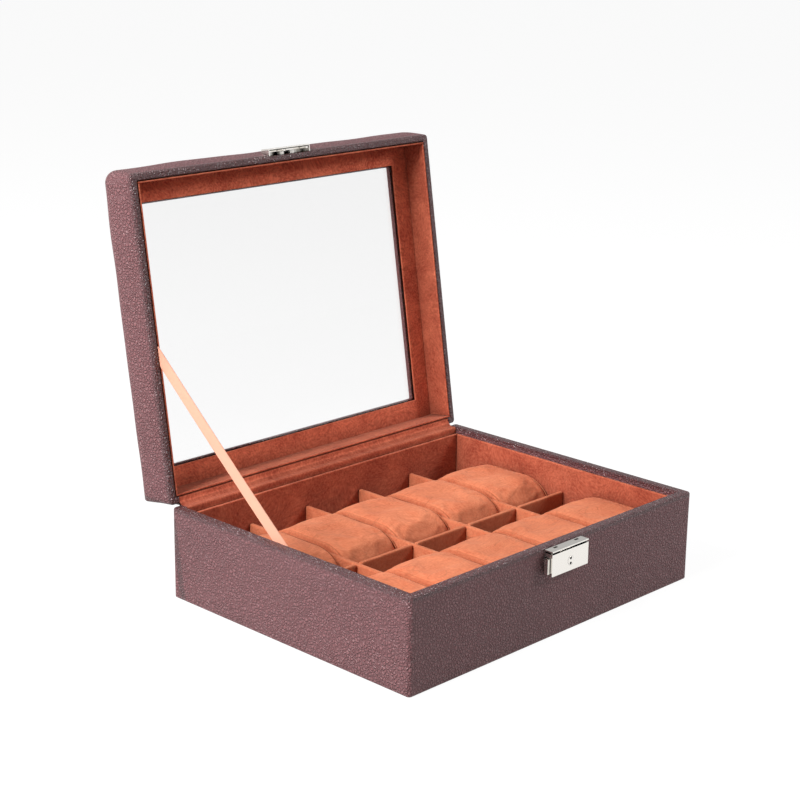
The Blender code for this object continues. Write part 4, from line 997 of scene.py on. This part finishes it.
class WATCHBOX_OT_key_face(bpy.types.Operator):
    """Close the rotor's face up to its hole and cover the bores for the key's two pins with black discs of painted
    shade
    """
    bl_idname = "watchbox.key_face"
    bl_label = "Key face"

    def execute(self, context):
        s = context.scene.watch_box_sizes
        face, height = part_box("key_rotor")[0].y, s.key_height
        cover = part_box("lock_cover")[0].y
        turn = (math.pi / 2, 0, 0)
        rim_radius, hole_radius, bore_radius, proud = 0.00288, 0.00257, 0.00085, 0.00004

        def rod(name, radius, depth, start, z):
            piece = fresh(bpy.ops.mesh.primitive_cylinder_add, name, vertices=64, radius=radius, depth=depth,
                          rotation=turn, location=(0, start + depth / 2, z))
            bpy.ops.object.transform_apply(location=True, rotation=True, scale=True)
            return piece

        rim = rod("key_rim", rim_radius, depth=0.0006, start=cover, z=height)
        hole = rod("hole", hole_radius, depth=0.002, start=cover - 0.0005, z=height)
        apply_modifier(rim, "BOOLEAN", operation="DIFFERENCE", solver="EXACT", object=hole)
        bpy.data.objects.remove(hole)
        round_off(rim, finish_of(context, "nickel"))
        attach(rim, "key_rotor")
        # Each bore gets a black disc of painted shade, just proud of the rotor's face.
        for number, side in enumerate((-1, 1)):
            bore = rod("key_bore_%d" % (number + 1), bore_radius, depth=0.0010, start=face - proud,
                       z=height + side * s.pin_spacing / 2)
            round_off(bore, finish_of(context, "bore"))
            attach(bore, "key_rotor")
        return {"FINISHED"}


class WATCHBOX_OT_stage(bpy.types.Operator):
    """Set the floor, the soft lights and the camera"""
    bl_idname = "watchbox.stage"
    bl_label = "Studio"

    def lamp(self, name, place, target, size, power):
        lamp = fresh(bpy.ops.object.light_add, name, type="AREA", location=place)
        lamp.data.shape = "RECTANGLE"
        lamp.data.size, lamp.data.size_y = size
        lamp.data.energy = power
        lamp.rotation_euler = (Vector(target) - Vector(place)).to_track_quat("-Z", "Y").to_euler()

    def execute(self, context):
        scene = context.scene
        floor = fresh(bpy.ops.mesh.primitive_plane_add, "floor", size=40.0)
        floor.data.materials.append(finish_of(context, "floor"))

        world = bpy.data.worlds.new("studio")
        scene.world = world
        world.use_nodes = True
        world.node_tree.nodes.clear()
        rays = add_node(world, "ShaderNodeLightPath")
        through = any_ray(world, rays, "Camera", "Glossy", "Transmission")
        # A dark flag stands far behind the object, so that metal and gloss keep their edges against the white.
        way = add_node(world, "ShaderNodeTexCoord").outputs["Generated"]
        facing = add_node(world, "ShaderNodeVectorMath", {0: way, 1: (0.69, 0.65, 0.31)}, operation="DOT_PRODUCT")
        flag = remap(world, facing.outputs["Value"], (0.6, 0.92), (0.0, 0.5))
        hidden = reckon(world, "MULTIPLY", rays.outputs["Is Glossy Ray"], flag)
        level = remap(world, reckon(world, "SUBTRACT", through, hidden), target=(0.11, 1.0))
        sky = add_node(world, "ShaderNodeBackground", {"Color": WHITE, "Strength": level})
        add_node(world, "ShaderNodeOutputWorld", {"Surface": sky.outputs[0]})

        for name, place, size, power in (("key", (-1.35, 0.1, 0.96), (0.6, 0.8), 33.0),
                                         ("fill", (1.05, -0.95, 0.95), (0.4, 0.4), 10.0),
                                         ("rim light", (-0.63, 1.15, 1.25), (0.3, 0.3), 8.0)):
            self.lamp(name, place, (0, 0, 0.08), size, power)

        camera = fresh(bpy.ops.object.camera_add, "camera", location=(-0.81006, -0.75221, 0.44783),
                       rotation=[math.radians(a) for a in (73.716, -0.742, -45.669)])
        camera.data.sensor_width = 36.0
        camera.data.lens = 83.25
        camera.data.clip_start = 0.01
        scene.camera = camera
        scene.view_settings.view_transform = "Standard"
        return {"FINISHED"}


class WATCHBOX_PT_panel(bpy.types.Panel):
    """Lists the pieces with their sizes and colours"""
    bl_idname = "WATCHBOX_PT_panel"
    bl_label = "Watch box"
    bl_space_type = "VIEW_3D"
    bl_region_type = "UI"
    bl_category = "Watch box"

    def draw(self, context):
        for operator in OPERATORS:
            self.layout.operator(operator.bl_idname)
        for group in (context.scene.watch_box_sizes, context.scene.watch_box_colours):
            box = self.layout.box()
            for name in group.__annotations__:
                box.prop(group, name)


OPERATORS = (WATCHBOX_OT_stage, WATCHBOX_OT_finishes, WATCHBOX_OT_base_leather, WATCHBOX_OT_lid_leather,
             WATCHBOX_OT_pillows, WATCHBOX_OT_ribbon, WATCHBOX_OT_hinge_strips, WATCHBOX_OT_felt,
             WATCHBOX_OT_key_face)
CLASSES = (WatchBoxSizes, WatchBoxColours) + OPERATORS + (WATCHBOX_PT_panel,)


def register():
    for item in CLASSES:
        bpy.utils.register_class(item)
    bpy.types.Scene.watch_box_sizes = PointerProperty(type=WatchBoxSizes)
    bpy.types.Scene.watch_box_colours = PointerProperty(type=WatchBoxColours)


def unregister():
    del bpy.types.Scene.watch_box_colours
    del bpy.types.Scene.watch_box_sizes
    for item in reversed(CLASSES):
        bpy.utils.unregister_class(item)


def main():
    """Registers the add-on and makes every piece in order."""
    register()
    for operator in OPERATORS:
        getattr(bpy.ops.watchbox, operator.bl_idname.split(".")[1])()
    bpy.context.view_layer.update()


if __name__ == "__main__":
    main()
